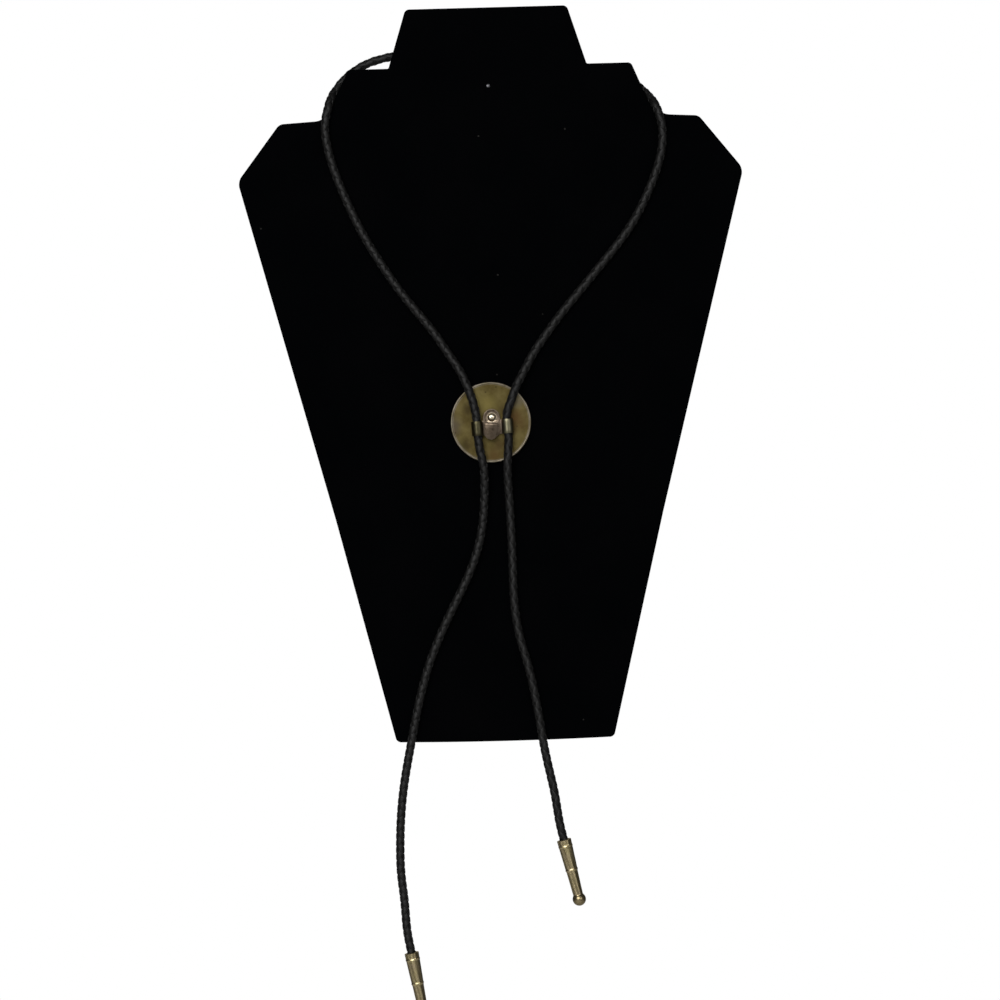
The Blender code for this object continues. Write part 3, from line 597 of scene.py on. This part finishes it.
# %% Flat shapes
def flat_shape(corners, front_y):
    """A face on (x, z, radius) corners, each rounded by a bevel with its own radius."""
    bm = bmesh.new()
    verts = [bm.verts.new((x, front_y, z)) for x, z, _ in corners]
    bm.faces.new(verts)
    for vert, (x, z, radius) in zip(verts, corners):
        if radius == 0.0:
            continue
        to_ends = [edge.other_vert(vert).co - vert.co for edge in vert.link_edges]
        run = radius / math.tan(to_ends[0].angle(to_ends[1]) / 2)
        bmesh.ops.bevel(
            bm, geom=[vert], offset=run, segments=8, profile=0.5, affect="VERTICES", material=-1
        )
    return bm


def pull_solid(bm, way):
    """Pulls a flat face out to a solid, this way and this far."""
    grown = bmesh.ops.extrude_face_region(bm, geom=bm.faces[:])["geom"]
    pulled = [v for v in grown if isinstance(v, bmesh.types.BMVert)]
    bmesh.ops.translate(bm, vec=way, verts=pulled)


# %% Cut out the board and cover it
right_side = [(x * MM, z * MM, radius * MM) for x, z, radius in RIGHT_CORNERS]
bow = []
for i in range(1, BOW_STEPS):
    share = 1 - 2 * i / BOW_STEPS
    bow.append((right_side[-1][0] * share, right_side[-1][1] - BOTTOM_BOW * (1 - share**2), 0.0))
left_side = [(-x * MM, z * MM, radius * MM) for x, z, radius in reversed(LEFT_CORNERS)]
bm = flat_shape(right_side + bow + left_side, BOARD_FRONT_Y)
pull_solid(bm, (0.0, BOARD_THICKNESS, 0.0))
rims = [e for e in bm.edges if abs(e.verts[0].co.y - e.verts[1].co.y) < LEVEL_WITHIN]
bmesh.ops.bevel(
    bm, geom=rims, offset=BOARD_EDGE_RADIUS, segments=6, profile=0.5, affect="EDGES", material=-1
)
# Only the front and the back have so many corners. A narrow band round them keeps them flat.
broad = [f for f in bm.faces if len(f.verts) > 20]
bmesh.ops.inset_individual(bm, faces=broad, thickness=0.3 * MM)
finish_piece("velvet_board", bm, velvet, ["display_board"])

# %% [markdown]
# ## The slide
# From behind, the slide is a plain brass disc with a low rolled rim. Years of handling have toned
# it: olive where the lacquer has aged, brown where it wore through, greyish at the left edge, and
# bright again along the rim, which rubs on the shirt. Dark brown patches beside the cords are
# painted shade, the dark cord's reflection and shadow in the brass, and one just above the clasp
# is painted shade round its top. The tone is painted by where a point is on the disc, so the
# patches stay in place, and noise breaks their edges.

# %% Finish: toned brass, its ground
# Cells in a metre: clouds 6.7 mm across, and a dark spot about each 3.8 mm
DISC_CLOUDS, DISC_SPOTS = 150.0, 260.0
PATCH_WANDER = 0.004
DISC_X, DISC_Z = -2.9 * MM, -159.0 * MM
DISC_RADIUS = 19.0 * MM
toned_brass = new_finish("toned_brass")
place = add_node(toned_brass, "TexCoord").outputs["Object"]
centred = add_node(
    toned_brass, "Mapping", {"vector_type": "TEXTURE", "Location": (DISC_X, 0.0, DISC_Z)},
    {"Vector": place},
).outputs[0]
cloud = add_node(
    toned_brass, "TexNoise", {"Scale": DISC_CLOUDS, "Detail": 5.0, "Roughness": 0.6}, {"Vector": place}
)
mottle = add_node(
    toned_brass, "MapRange", {"From Min": 0.35, "From Max": 0.65}, {"Value": cloud.outputs["Fac"]}
)
wander = add_node(
    toned_brass, "MixRGB", {"blend_type": "ADD", "Fac": PATCH_WANDER},
    {"Color1": centred, "Color2": cloud.outputs["Color"]},
).outputs[0]
tone = add_node(
    toned_brass, "Mix", {"data_type": "RGBA", 6: linear("#493f22"), 7: linear("#625836")},
    {0: mottle.outputs[0]},
).outputs[2]
print("disc", 2 * DISC_RADIUS / MM, "mm across")

# %% Toned brass, its patches of tone and of painted shade
# Each patch: its place on the disc and its size in mm, its colour, and how strong it is
TONE_AND_SHADE_PATCHES = [
    ((13.0, 3.0), 8.0, "#4a3620", 0.9), ((3.0, -14.0), 6.0, "#4f3c24", 0.7),
    ((-17.0, 1.0), 7.5, "#4e463b", 0.9), ((14.5, 12.0), 5.0, "#5e584c", 0.8),
    ((-6.0, 4.0), 7.0, "#40361d", 0.5), ((0.0, 11.0), 7.0, "#73693c", 0.6),
    # Painted shade: the four patches on this line and the next lie beside the cords, where the dark
    # cord's reflection and shadow darken the brass.
    ((-9.0, 9.0), 4.5, "#281f14", 0.8), ((-10.5, -8.5), 5.0, "#2c2115", 0.85),
    ((5.5, -8.5), 4.5, "#362617", 0.85), ((8.0, 8.0), 4.0, "#2c2214", 0.7),
    # Painted shade: the second patch on the next line lies just above the clasp plate, round its top.
    ((-13.0, -9.0), 5.0, "#4e4b27", 0.5), ((0.5, 4.5), 4.0, "#3a2e19", 0.6),
]
for (across, up), size, code, strength in TONE_AND_SHADE_PATCHES:
    patch_at = (across * MM, DISC_FACE_Y, up * MM)
    away = add_node(toned_brass, "VectorMath", {"operation": "DISTANCE", 1: patch_at}, {0: wander})
    mask = add_node(
        toned_brass, "MapRange",
        {"interpolation_type": "SMOOTHSTEP", "From Min": 0.2 * size * MM, "From Max": size * MM,
         "To Min": strength, "To Max": 0.0},
        {"Value": away.outputs["Value"]},
    )
    tone = add_node(
        toned_brass, "Mix", {"data_type": "RGBA", 7: linear(code)}, {0: mask.outputs[0], 6: tone}
    ).outputs[2]
print(len(TONE_AND_SHADE_PATCHES), "patches")

# %% Toned brass, its spots, rim and gloss
spots = add_node(toned_brass, "TexVoronoi", {"Scale": DISC_SPOTS}, {"Vector": place})
spot_mask = add_node(
    toned_brass, "MapRange", {"From Min": 0.06, "From Max": 0.16, "To Min": 0.75, "To Max": 0.0},
    {"Value": spots.outputs["Distance"]},
)
tone = add_node(
    toned_brass, "Mix", {"data_type": "RGBA", 7: linear("#211b10")}, {0: spot_mask.outputs[0], 6: tone}
).outputs[2]
flat_place = add_node(
    toned_brass, "VectorMath", {"operation": "MULTIPLY", 1: (1.0, 0.0, 1.0)}, {0: centred}
)
reach = add_node(toned_brass, "VectorMath", {"operation": "LENGTH"}, {0: flat_place.outputs[0]})
rubbed = add_node(
    toned_brass, "MapRange",
    {"From Min": DISC_RADIUS - 1.4 * MM, "From Max": DISC_RADIUS - 0.8 * MM},
    {"Value": reach.outputs["Value"]},
)
rim_tone = add_node(
    toned_brass, "Mix", {"data_type": "RGBA", 6: linear("#6f6650"), 7: linear("#9c9384")},
    {0: mottle.outputs[0]},
)
tone = add_node(
    toned_brass, "Mix", {"data_type": "RGBA"}, {0: rubbed.outputs[0], 6: tone, 7: rim_tone.outputs[2]}
).outputs[2]
gloss = add_node(
    toned_brass, "MapRange", {"To Min": 0.40, "To Max": 0.56}, {"Value": cloud.outputs["Fac"]}
)
relief = add_node(
    toned_brass, "Bump", {"Strength": 0.2, "Distance": 0.1 * MM}, {"Height": cloud.outputs["Fac"]}
)
shader = add_node(
    toned_brass, "BsdfPrincipled", {"Metallic": 1.0},
    {"Base Color": tone, "Roughness": gloss.outputs[0], "Normal": relief.outputs[0]},
)
add_node(toned_brass, "OutputMaterial", {}, {"Surface": shader.outputs[0]})
print(toned_brass.name, "from", len(toned_brass.node_tree.nodes), "nodes")

# %% Spin the disc
RIM_WIDTH, RIM_HEIGHT = 1.0 * MM, 0.4 * MM
EDGE_ROUND = 0.5 * MM
TOWARDS_CAMERA = Matrix.Rotation(math.radians(90), 4, "X")

rows = [(radius * MM, 0.0) for radius in (0.0, 6.0, 12.0, 17.0)]
rows += arc((DISC_RADIUS - EDGE_ROUND, EDGE_ROUND), EDGE_ROUND, -math.pi / 2, 0.0, 5)
crest = RIM_WIDTH / 2
rows += [
    (DISC_RADIUS - crest + crest * math.cos(a), DISC_THICKNESS + RIM_HEIGHT * math.sin(a))
    for a in np.linspace(0.0, math.pi, 11)
]
rows += [(radius * MM, DISC_THICKNESS) for radius in (17.8, 15.0, 12.0, 9.0, 6.0, 3.0, 0.0)]
bm = bmesh.new()
spin_profile(bm, rows, steps=160)
place = Matrix.Translation((DISC_X, BOARD_FRONT_Y - GAP, DISC_Z)) @ TOWARDS_CAMERA
bmesh.ops.transform(bm, matrix=place, verts=bm.verts)
finish_piece("brass_slide", bm, toned_brass, ["slide_disc"])

# %% [markdown]
# ## The clasp
# Behind the slide, a bent strip holds the two lengths of cord in its curled ends. An oblong plate
# is soldered over it, with the rivet at its top, and a small lever is hinged on the plate. All
# of it is a pinkish nickel bronze that has gone grey-brown. The curled ends are greener, and the
# left one is painted darker, which is painted shade. The rivet's dome is still polished. The strip
# is a flat grid laid along the line of the bend and given its thickness, just as the real one
# starts as a flat blank.

# %% Finish: nickel bronze
# Cells in a metre: grime in clouds 2.4 mm across, over tones 9 mm across
GRIME_CLOUDS, BROAD_TONES = 420.0, 110.0
bronze = new_finish("worn_nickel_bronze")
place = add_node(bronze, "TexCoord").outputs["Object"]
cloud = add_node(
    bronze, "TexNoise", {"Scale": GRIME_CLOUDS, "Detail": 4.0, "Roughness": 0.6}, {"Vector": place}
)
broad_tone = add_node(bronze, "TexNoise", {"Scale": BROAD_TONES, "Detail": 2.0}, {"Vector": place})
tone = add_node(
    bronze, "Mix", {"data_type": "RGBA", 6: linear("#6c5c4c"), 7: linear("#7a7063")},
    {0: broad_tone.outputs["Fac"]},
)
grime = add_node(
    bronze, "MapRange", {"From Min": 0.46, "From Max": 0.66, "To Min": 0.0, "To Max": 0.75},
    {"Value": cloud.outputs["Fac"]},
)
toned = add_node(
    bronze, "Mix", {"data_type": "RGBA", 7: linear("#3c3025")},
    {0: grime.outputs[0], 6: tone.outputs[2]},
)

# %% Nickel bronze, its curled ends with painted shade on the left one, and the dome
sideways = add_node(bronze, "SeparateXYZ", {}, {0: place}).outputs["X"]
off_middle = add_node(bronze, "Math", {"operation": "SUBTRACT", 1: CLIP_X}, {0: sideways})
reach = add_node(bronze, "Math", {"operation": "ABSOLUTE"}, {0: off_middle.outputs[0]})
ends = add_node(
    bronze, "MapRange", {"From Min": 4.7 * MM, "From Max": 5.3 * MM, "To Min": 0.0, "To Max": 0.85},
    {"Value": reach.outputs[0]},
)
# Painted shade: the left curled end gets the darker colour and the right one the lighter. Both are
# greener than the rest, from tarnish.
left_loop_shade_mask = add_node(
    bronze, "MapRange", {"From Min": -1.0 * MM, "From Max": 1.0 * MM},
    {"Value": off_middle.outputs[0]},
)
loop_green_and_shade = add_node(
    bronze, "Mix", {"data_type": "RGBA", 6: linear("#46442f"), 7: linear("#78755e")},
    {0: left_loop_shade_mask.outputs[0]},
)
greened_and_shaded = add_node(
    bronze, "Mix", {"data_type": "RGBA"},
    {0: ends.outputs[0], 6: toned.outputs[2], 7: loop_green_and_shade.outputs[2]},
)
dome_at = tuple(clip_place(PLATE_SHIFT, PLATE_FRONT_Y, DISH_Z, PLATE_TURN))
off_dome = add_node(bronze, "VectorMath", {"operation": "DISTANCE", 1: dome_at}, {0: place})
polish = add_node(
    bronze, "MapRange", {"From Min": 2.0 * MM, "From Max": 2.4 * MM, "To Min": 1.0, "To Max": 0.0},
    {"Value": off_dome.outputs["Value"]},
)
polished = add_node(
    bronze, "Mix", {"data_type": "RGBA", 7: linear("#f0e2c6")},
    {0: polish.outputs[0], 6: greened_and_shaded.outputs[2]},
)
gloss = add_node(bronze, "MapRange", {"To Min": 0.24, "To Max": 0.42}, {"Value": cloud.outputs["Fac"]})
shine = add_node(bronze, "Mix", {"B": 0.27}, {"Factor": polish.outputs[0], "A": gloss.outputs[0]})
relief = add_node(
    bronze, "Bump", {"Strength": 0.2, "Distance": 0.04 * MM}, {"Height": cloud.outputs["Fac"]}
)
shader = add_node(
    bronze, "BsdfPrincipled", {"Metallic": 1.0},
    {"Base Color": polished.outputs[2], "Roughness": shine.outputs[0], "Normal": relief.outputs[0]},
)
add_node(bronze, "OutputMaterial", {}, {"Surface": shader.outputs[0]})
print(bronze.name, "from", len(bronze.node_tree.nodes), "nodes")

# %% Bend the strip
STRIP_HALF_HEIGHT = 3.4 * MM
LOOP_SWEEP = math.radians(296)
SMALL_BEVEL = 0.12 * MM
SHARP_TURN = math.radians(50)


def soften_edges(bm, width=SMALL_BEVEL):
    """Rounds the sharp edges a little, as stamping and wear do."""
    sharp = [e for e in bm.edges if len(e.link_faces) == 2 and e.calc_face_angle() > SHARP_TURN]
    bmesh.ops.bevel(
        bm, geom=sharp, offset=width, segments=2, profile=0.5, affect="EDGES", material=-1
    )


def clip_turn(across, depth, up, turn):
    """The placing of a part of the clasp that was modelled about its own middle."""
    return Matrix.Translation(clip_place(across, depth, up, turn)) @ Matrix.Rotation(-turn, 4, "Y")


def bent_strip():
    """The cross strip with its curled ends."""
    right = arc((LOOP_OFFSET, LOOP_Y), LOOP_RADIUS, math.pi / 2, math.pi / 2 - LOOP_SWEEP, 40)
    line = [(-x, y) for x, y in reversed(right)] + right
    bm = bmesh.new()
    grid = bmesh.ops.create_grid(bm, x_segments=len(line) - 1, y_segments=4, size=1.0)["verts"]
    for vert in grid:
        x, y = line[round((vert.co.x + 1) / 2 * (len(line) - 1))]
        vert.co = (x, y, vert.co.y * STRIP_HALF_HEIGHT)
    bmesh.ops.recalc_face_normals(bm, faces=bm.faces)
    bm.normal_update()
    for vert in bm.verts:
        vert.co -= vert.normal * STRIP_THICKNESS / 2
    bm.normal_update()
    bmesh.ops.solidify(bm, geom=bm.faces[:], thickness=-STRIP_THICKNESS)
    bmesh.ops.recalc_face_normals(bm, faces=bm.faces)
    soften_edges(bm)
    bmesh.ops.transform(bm, matrix=clip_turn(0.0, 0.0, 0.0, STRIP_TURN), verts=bm.verts)
    return bm


strip = bent_strip()
print("strip", len(strip.faces), "faces")

# %% [markdown]
# The plate is a flat shape with one round end. A shallow dish is sunk in it, with the rivet's
# polished dome in the middle. The round part is spun, so its rim and its dome stay truly round, and
# the rest is pulled to thickness round it. The lug inside the lever holds the hinge pin.

# %% The plate, the dish and the lug
PLATE_HALF_WIDTH, PLATE_FOOT_Z, PLATE_FOOT_RADIUS = 4.0 * MM, -3.9 * MM, 1.4 * MM
# How far the plate's bite reaches in under the spun part
BITE_OVERLAP = 0.3 * MM
HINGE_RADIUS, HINGE_Z = 1.9 * MM, 1.1 * MM
HINGE_Y = PLATE_FRONT_Y - GAP - HINGE_RADIUS
LEVER_HALF_WIDTH, LEVER_WALL = 3.0 * MM, 0.6 * MM
# The lug's round front, and how deep its root is sunk in the plate
LUG_RADIUS, LUG_ROOT = 1.0 * MM, 0.4 * MM


def clasp_plate():
    """The plate below the middle of the dish, with a half round bite for the spun part."""
    half = PLATE_HALF_WIDTH
    corners = [(side * half, PLATE_FOOT_Z, PLATE_FOOT_RADIUS) for side in (-1, 1)]
    bite = arc((0.0, DISH_Z), half - BITE_OVERLAP, 0.0, -math.pi, 24)
    corners += [(x, z, 0.0) for x, z in [(half, DISH_Z), *bite, (-half, DISH_Z)]]
    bm = flat_shape(corners, PLATE_FRONT_Y)
    pull_solid(bm, (0.0, PLATE_BACK_Y - PLATE_FRONT_Y, 0.0))
    bmesh.ops.transform(bm, matrix=clip_turn(PLATE_SHIFT, 0.0, 0.0, PLATE_TURN), verts=bm.verts)
    return bm


def rivet_dish():
    """The dome, the dish's sunk floor and its rim, as a spun profile in mm."""
    dome = arc((0.0, 0.0), 1.0, math.pi / 2, 0.0, 10)
    rows = [(0.0, 1.1)] + [(2.1 * x, 1.5 * y - 0.4) for x, y in dome[1:]]
    rows += [(2.6, -0.4), (3.0, -0.36), (3.15, -0.1), (3.3, 0.0), (3.75, 0.0), (3.9, -0.03)]
    rows += [(3.97, -0.1), (4.0, -0.2), (4.0, -PLATE_THICKNESS / MM), (0.0, -PLATE_THICKNESS / MM)]
    bm = bmesh.new()
    spin_profile(bm, [(radius * MM, up * MM) for radius, up in rows], steps=72)
    place = clip_turn(PLATE_SHIFT, PLATE_FRONT_Y, DISH_Z, PLATE_TURN) @ TOWARDS_CAMERA
    bmesh.ops.transform(bm, matrix=place, verts=bm.verts)
    return bm


def hinge_lug():
    """The block between the lever's cheeks, round at the front where the hinge pin goes through."""
    half = LEVER_HALF_WIDTH - LEVER_WALL - GAP
    root = PLATE_FRONT_Y + LUG_ROOT - HINGE_Y
    profile = arc((0.0, 0.0), LUG_RADIUS, -math.pi / 2, -math.pi * 3 / 2, 12)
    profile += [(root, LUG_RADIUS), (root, -LUG_RADIUS)]
    bm = bmesh.new()
    bm.faces.new([bm.verts.new((-half, y, z)) for y, z in profile])
    pull_solid(bm, (2 * half, 0.0, 0.0))
    place = clip_turn(PLATE_SHIFT, HINGE_Y, HINGE_Z, PLATE_TURN)
    bmesh.ops.transform(bm, matrix=place, verts=bm.verts)
    return bm


# The soldered parts join the strip in one mesh
for part in (clasp_plate(), rivet_dish(), hinge_lug()):
    bmesh.ops.recalc_face_normals(part, faces=part.faces)
    poured = bpy.data.meshes.new("poured")
    part.to_mesh(poured)
    part.free()
    strip.from_mesh(poured)
    bpy.data.meshes.remove(poured)
finish_piece("clasp_frame", strip, bronze, ["clip_body"])

# %% [markdown]
# The lever is pressed from thin sheet: a flat front that leans in towards its round foot, a roll
# over the hinge at the top, and cheeks that reach back on both sides. It starts as the front's flat
# shape, is pulled back to a box, loses the box's back and top, and gets its wall from solidify. The
# front carries a plain raised panel, as pressed sheet often does to stiffen it.

# %% The lever's front
LEVER_LOW, LEVER_RISE = -6.9 * MM, 1.0 * MM
LEVER_SETBACK = 1.0 * MM
FOOT_RADIUS = LEVER_HALF_WIDTH - 0.02 * MM
# Heights in mm where the front bends
BENDS = (-4.0, -2.0, 0.0, 0.25, 0.5, 0.75)
PANEL_MARGIN, PANEL_SLOPE, PANEL_RISE = 0.8 * MM, 0.15 * MM, 0.12 * MM


def lever_front_y(z):
    """How far forward the lever's front is at a height: round above the hinge, leaning below."""
    if z > 0.0:
        return -math.sqrt(HINGE_RADIUS**2 - z**2)
    return -HINGE_RADIUS + LEVER_SETBACK * z / LEVER_LOW


half = LEVER_HALF_WIDTH
foot = [(side * half, LEVER_LOW, FOOT_RADIUS) for side in (-1, 1)]
bm = flat_shape([*foot, (half, LEVER_RISE, 0.0), (-half, LEVER_RISE, 0.0)], 0.0)
for z in BENDS:
    everything = bm.verts[:] + bm.edges[:] + bm.faces[:]
    bmesh.ops.bisect_plane(bm, geom=everything, plane_co=(0, 0, z * MM), plane_no=(0, 0, 1))
panel = bm.faces[:]
bmesh.ops.inset_region(bm, faces=panel, thickness=PANEL_MARGIN)
bmesh.ops.inset_region(bm, faces=panel, thickness=PANEL_SLOPE)
raised = {v for f in panel for v in f.verts}
for vert in bm.verts:
    vert.co.y = lever_front_y(vert.co.z) - (PANEL_RISE if vert in raised else 0.0)
print("lever front", len(bm.faces), "faces")

# %% The lever's cheeks and wall
def at_top(edge):
    """Whether an edge runs along the lever's open top."""
    return all(abs(vert.co.z - LEVER_RISE) < LEVEL_WITHIN for vert in edge.verts)


rim = [e for e in bm.edges if e.is_boundary and not at_top(e)]
grown = bmesh.ops.extrude_edge_only(bm, edges=rim)["geom"]
for vert in grown:
    if isinstance(vert, bmesh.types.BMVert):
        vert.co.y = HINGE_RADIUS
bmesh.ops.recalc_face_normals(bm, faces=bm.faces)
# The wall has to grow inwards, so the face nearest the middle of the panel must look forwards
panel_middle = Vector((0, -HINGE_RADIUS, -3 * MM))
middle_face = min(bm.faces, key=lambda f: (f.calc_center_median() - panel_middle).length)
if middle_face.normal.y > 0:
    bmesh.ops.reverse_faces(bm, faces=bm.faces)
bm.normal_update()
bmesh.ops.solidify(bm, geom=bm.faces[:], thickness=LEVER_WALL)
bmesh.ops.recalc_face_normals(bm, faces=bm.faces)
soften_edges(bm, 0.1 * MM)
place = clip_turn(PLATE_SHIFT, HINGE_Y, HINGE_Z, PLATE_TURN)
bmesh.ops.transform(bm, matrix=place, verts=bm.verts)
finish_piece("clasp_lever", bm, bronze, ["clip_lever"], body="lever")

# %% [markdown]
# ## The two pins
# The hinge pin and the pin through the neck keep their solids, and only take a finish. The hinge
# pin is the clasp's own bronze. The board's pin is plain drawn steel wire with a pressed head. Steel
# that is handled and kept in the damp loses its shine, so the head shows as a grey dot.

# %% Finish: dulled steel, and the two pins
# Cells in a metre: dull clouds 1.1 mm across
DULL_CLOUDS = 900.0
steel = new_finish("dulled_steel")
place = add_node(steel, "TexCoord").outputs["Object"]
cloud = add_node(steel, "TexNoise", {"Scale": DULL_CLOUDS, "Detail": 3.0}, {"Vector": place})
tone = add_node(
    steel, "Mix", {"data_type": "RGBA", 6: linear("#5c5c60"), 7: linear("#7c7c80")},
    {0: cloud.outputs["Fac"]},
)
gloss = add_node(steel, "MapRange", {"To Min": 0.3, "To Max": 0.5}, {"Value": cloud.outputs["Fac"]})
shader = add_node(
    steel, "BsdfPrincipled", {"Metallic": 1.0},
    {"Base Color": tone.outputs[2], "Roughness": gloss.outputs[0]},
)
add_node(steel, "OutputMaterial", {}, {"Surface": shader.outputs[0]})

for node, finish in (("board_pin", steel), ("clip_hinge_pin", bronze)):
    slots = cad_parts[node].material_slots
    for slot in slots:
        slot.material = finish
    print(node, "has", len(slots), "slot")

# %% [markdown]
# ## Floor and light
# The object hangs on its pin, well above a plain pale floor that the first view doesn't reach. The
# floor's own glow and the world's white are for the camera only, so both look clean and neither
# lights the object. As a light the world is dim, with a soft glow only straight in front of the
# board, so flat metal takes an even tone and round metal goes dark at its edges. The key is wide
# but not tall, and stands above the camera: it gives upright rods such as the tips a long streak
# and leaves the slanting cord duller. A small light at the left and a weak one at the right keep
# the sides from going black, and one behind lights the back.

# %% The floor
FLOOR_RADIUS, FLOOR_Z, FLOOR_GLOW = 2.4, -1.0, 0.55
bm = bmesh.new()
bmesh.ops.create_circle(bm, cap_ends=True, segments=96, radius=FLOOR_RADIUS)
bmesh.ops.translate(bm, vec=(0.0, 0.0, FLOOR_Z), verts=bm.verts)
mesh = bpy.data.meshes.new("floor")
bm.to_mesh(mesh)
bm.free()
floor = bpy.data.objects.new("floor", mesh)
bpy.context.scene.collection.objects.link(floor)
pale = new_finish("pale_floor")
looked_at = add_node(pale, "LightPath")
lift = add_node(
    pale, "Math", {"operation": "MULTIPLY", 1: FLOOR_GLOW}, {0: looked_at.outputs["Is Camera Ray"]}
)
shader = add_node(
    pale, "BsdfPrincipled",
    {"Base Color": linear("#e8e8e6"), "Roughness": 0.9, "Emission Color": linear("#e8e8e6")},
    {"Emission Strength": lift.outputs[0]},
)
add_node(pale, "OutputMaterial", {}, {"Surface": shader.outputs[0]})
mesh.materials.append(pale)
print("floor", -FLOOR_Z, "m below the pin")


# %% The lights
def soft_light(name, at, towards, wide, tall, power):
    """An oblong soft light that faces a point."""
    data = bpy.data.lights.new(name, "AREA")
    data.shape, data.size, data.size_y, data.energy = "RECTANGLE", wide, tall, power
    light = bpy.data.objects.new(name, data)
    aim = (Vector(towards) - Vector(at)).to_track_quat("-Z", "Y")
    light.matrix_world = Matrix.Translation(at) @ aim.to_matrix().to_4x4()
    bpy.context.scene.collection.objects.link(light)


MIDDLE = (0.0, 0.0, -0.2)
soft_light("key", (-0.45, -1.95, 0.65), MIDDLE, 1.9, 0.5, 20.0)
soft_light("side", (-0.65, -1.85, 0.0), MIDDLE, 0.5, 0.9, 5.0)
soft_light("fill", (1.3, -1.8, 0.2), MIDDLE, 0.9, 0.9, 4.0)
soft_light("back", (0.0, 1.7, 0.9), MIDDLE, 0.9, 0.9, 9.0)

print(sum(light.energy for light in bpy.data.lights), "watts in all")

# %% The world
world = bpy.data.worlds.new("world")
world.use_nodes = True
bpy.context.scene.world = world
world.node_tree.nodes.clear()
seen = add_node(world, "LightPath")
way = add_node(world, "TexCoord").outputs["Generated"]
ahead = add_node(world, "SeparateXYZ", {}, {0: way}).outputs["Y"]
room = add_node(
    world, "MapRange", {"From Min": -0.95, "From Max": -0.35, "To Min": 0.28, "To Max": 0.06},
    {"Value": ahead},
)
glow = add_node(
    world, "MapRange", {"To Max": 1.0},
    {"Value": seen.outputs["Is Camera Ray"], "To Min": room.outputs[0]},
)
sky = add_node(world, "Background", {"Color": (1.0, 1.0, 1.0, 1.0)}, {"Strength": glow.outputs[0]})
add_node(world, "OutputWorld", {}, {"Surface": sky.outputs[0]})
bpy.context.scene.view_settings.view_transform = "Standard"
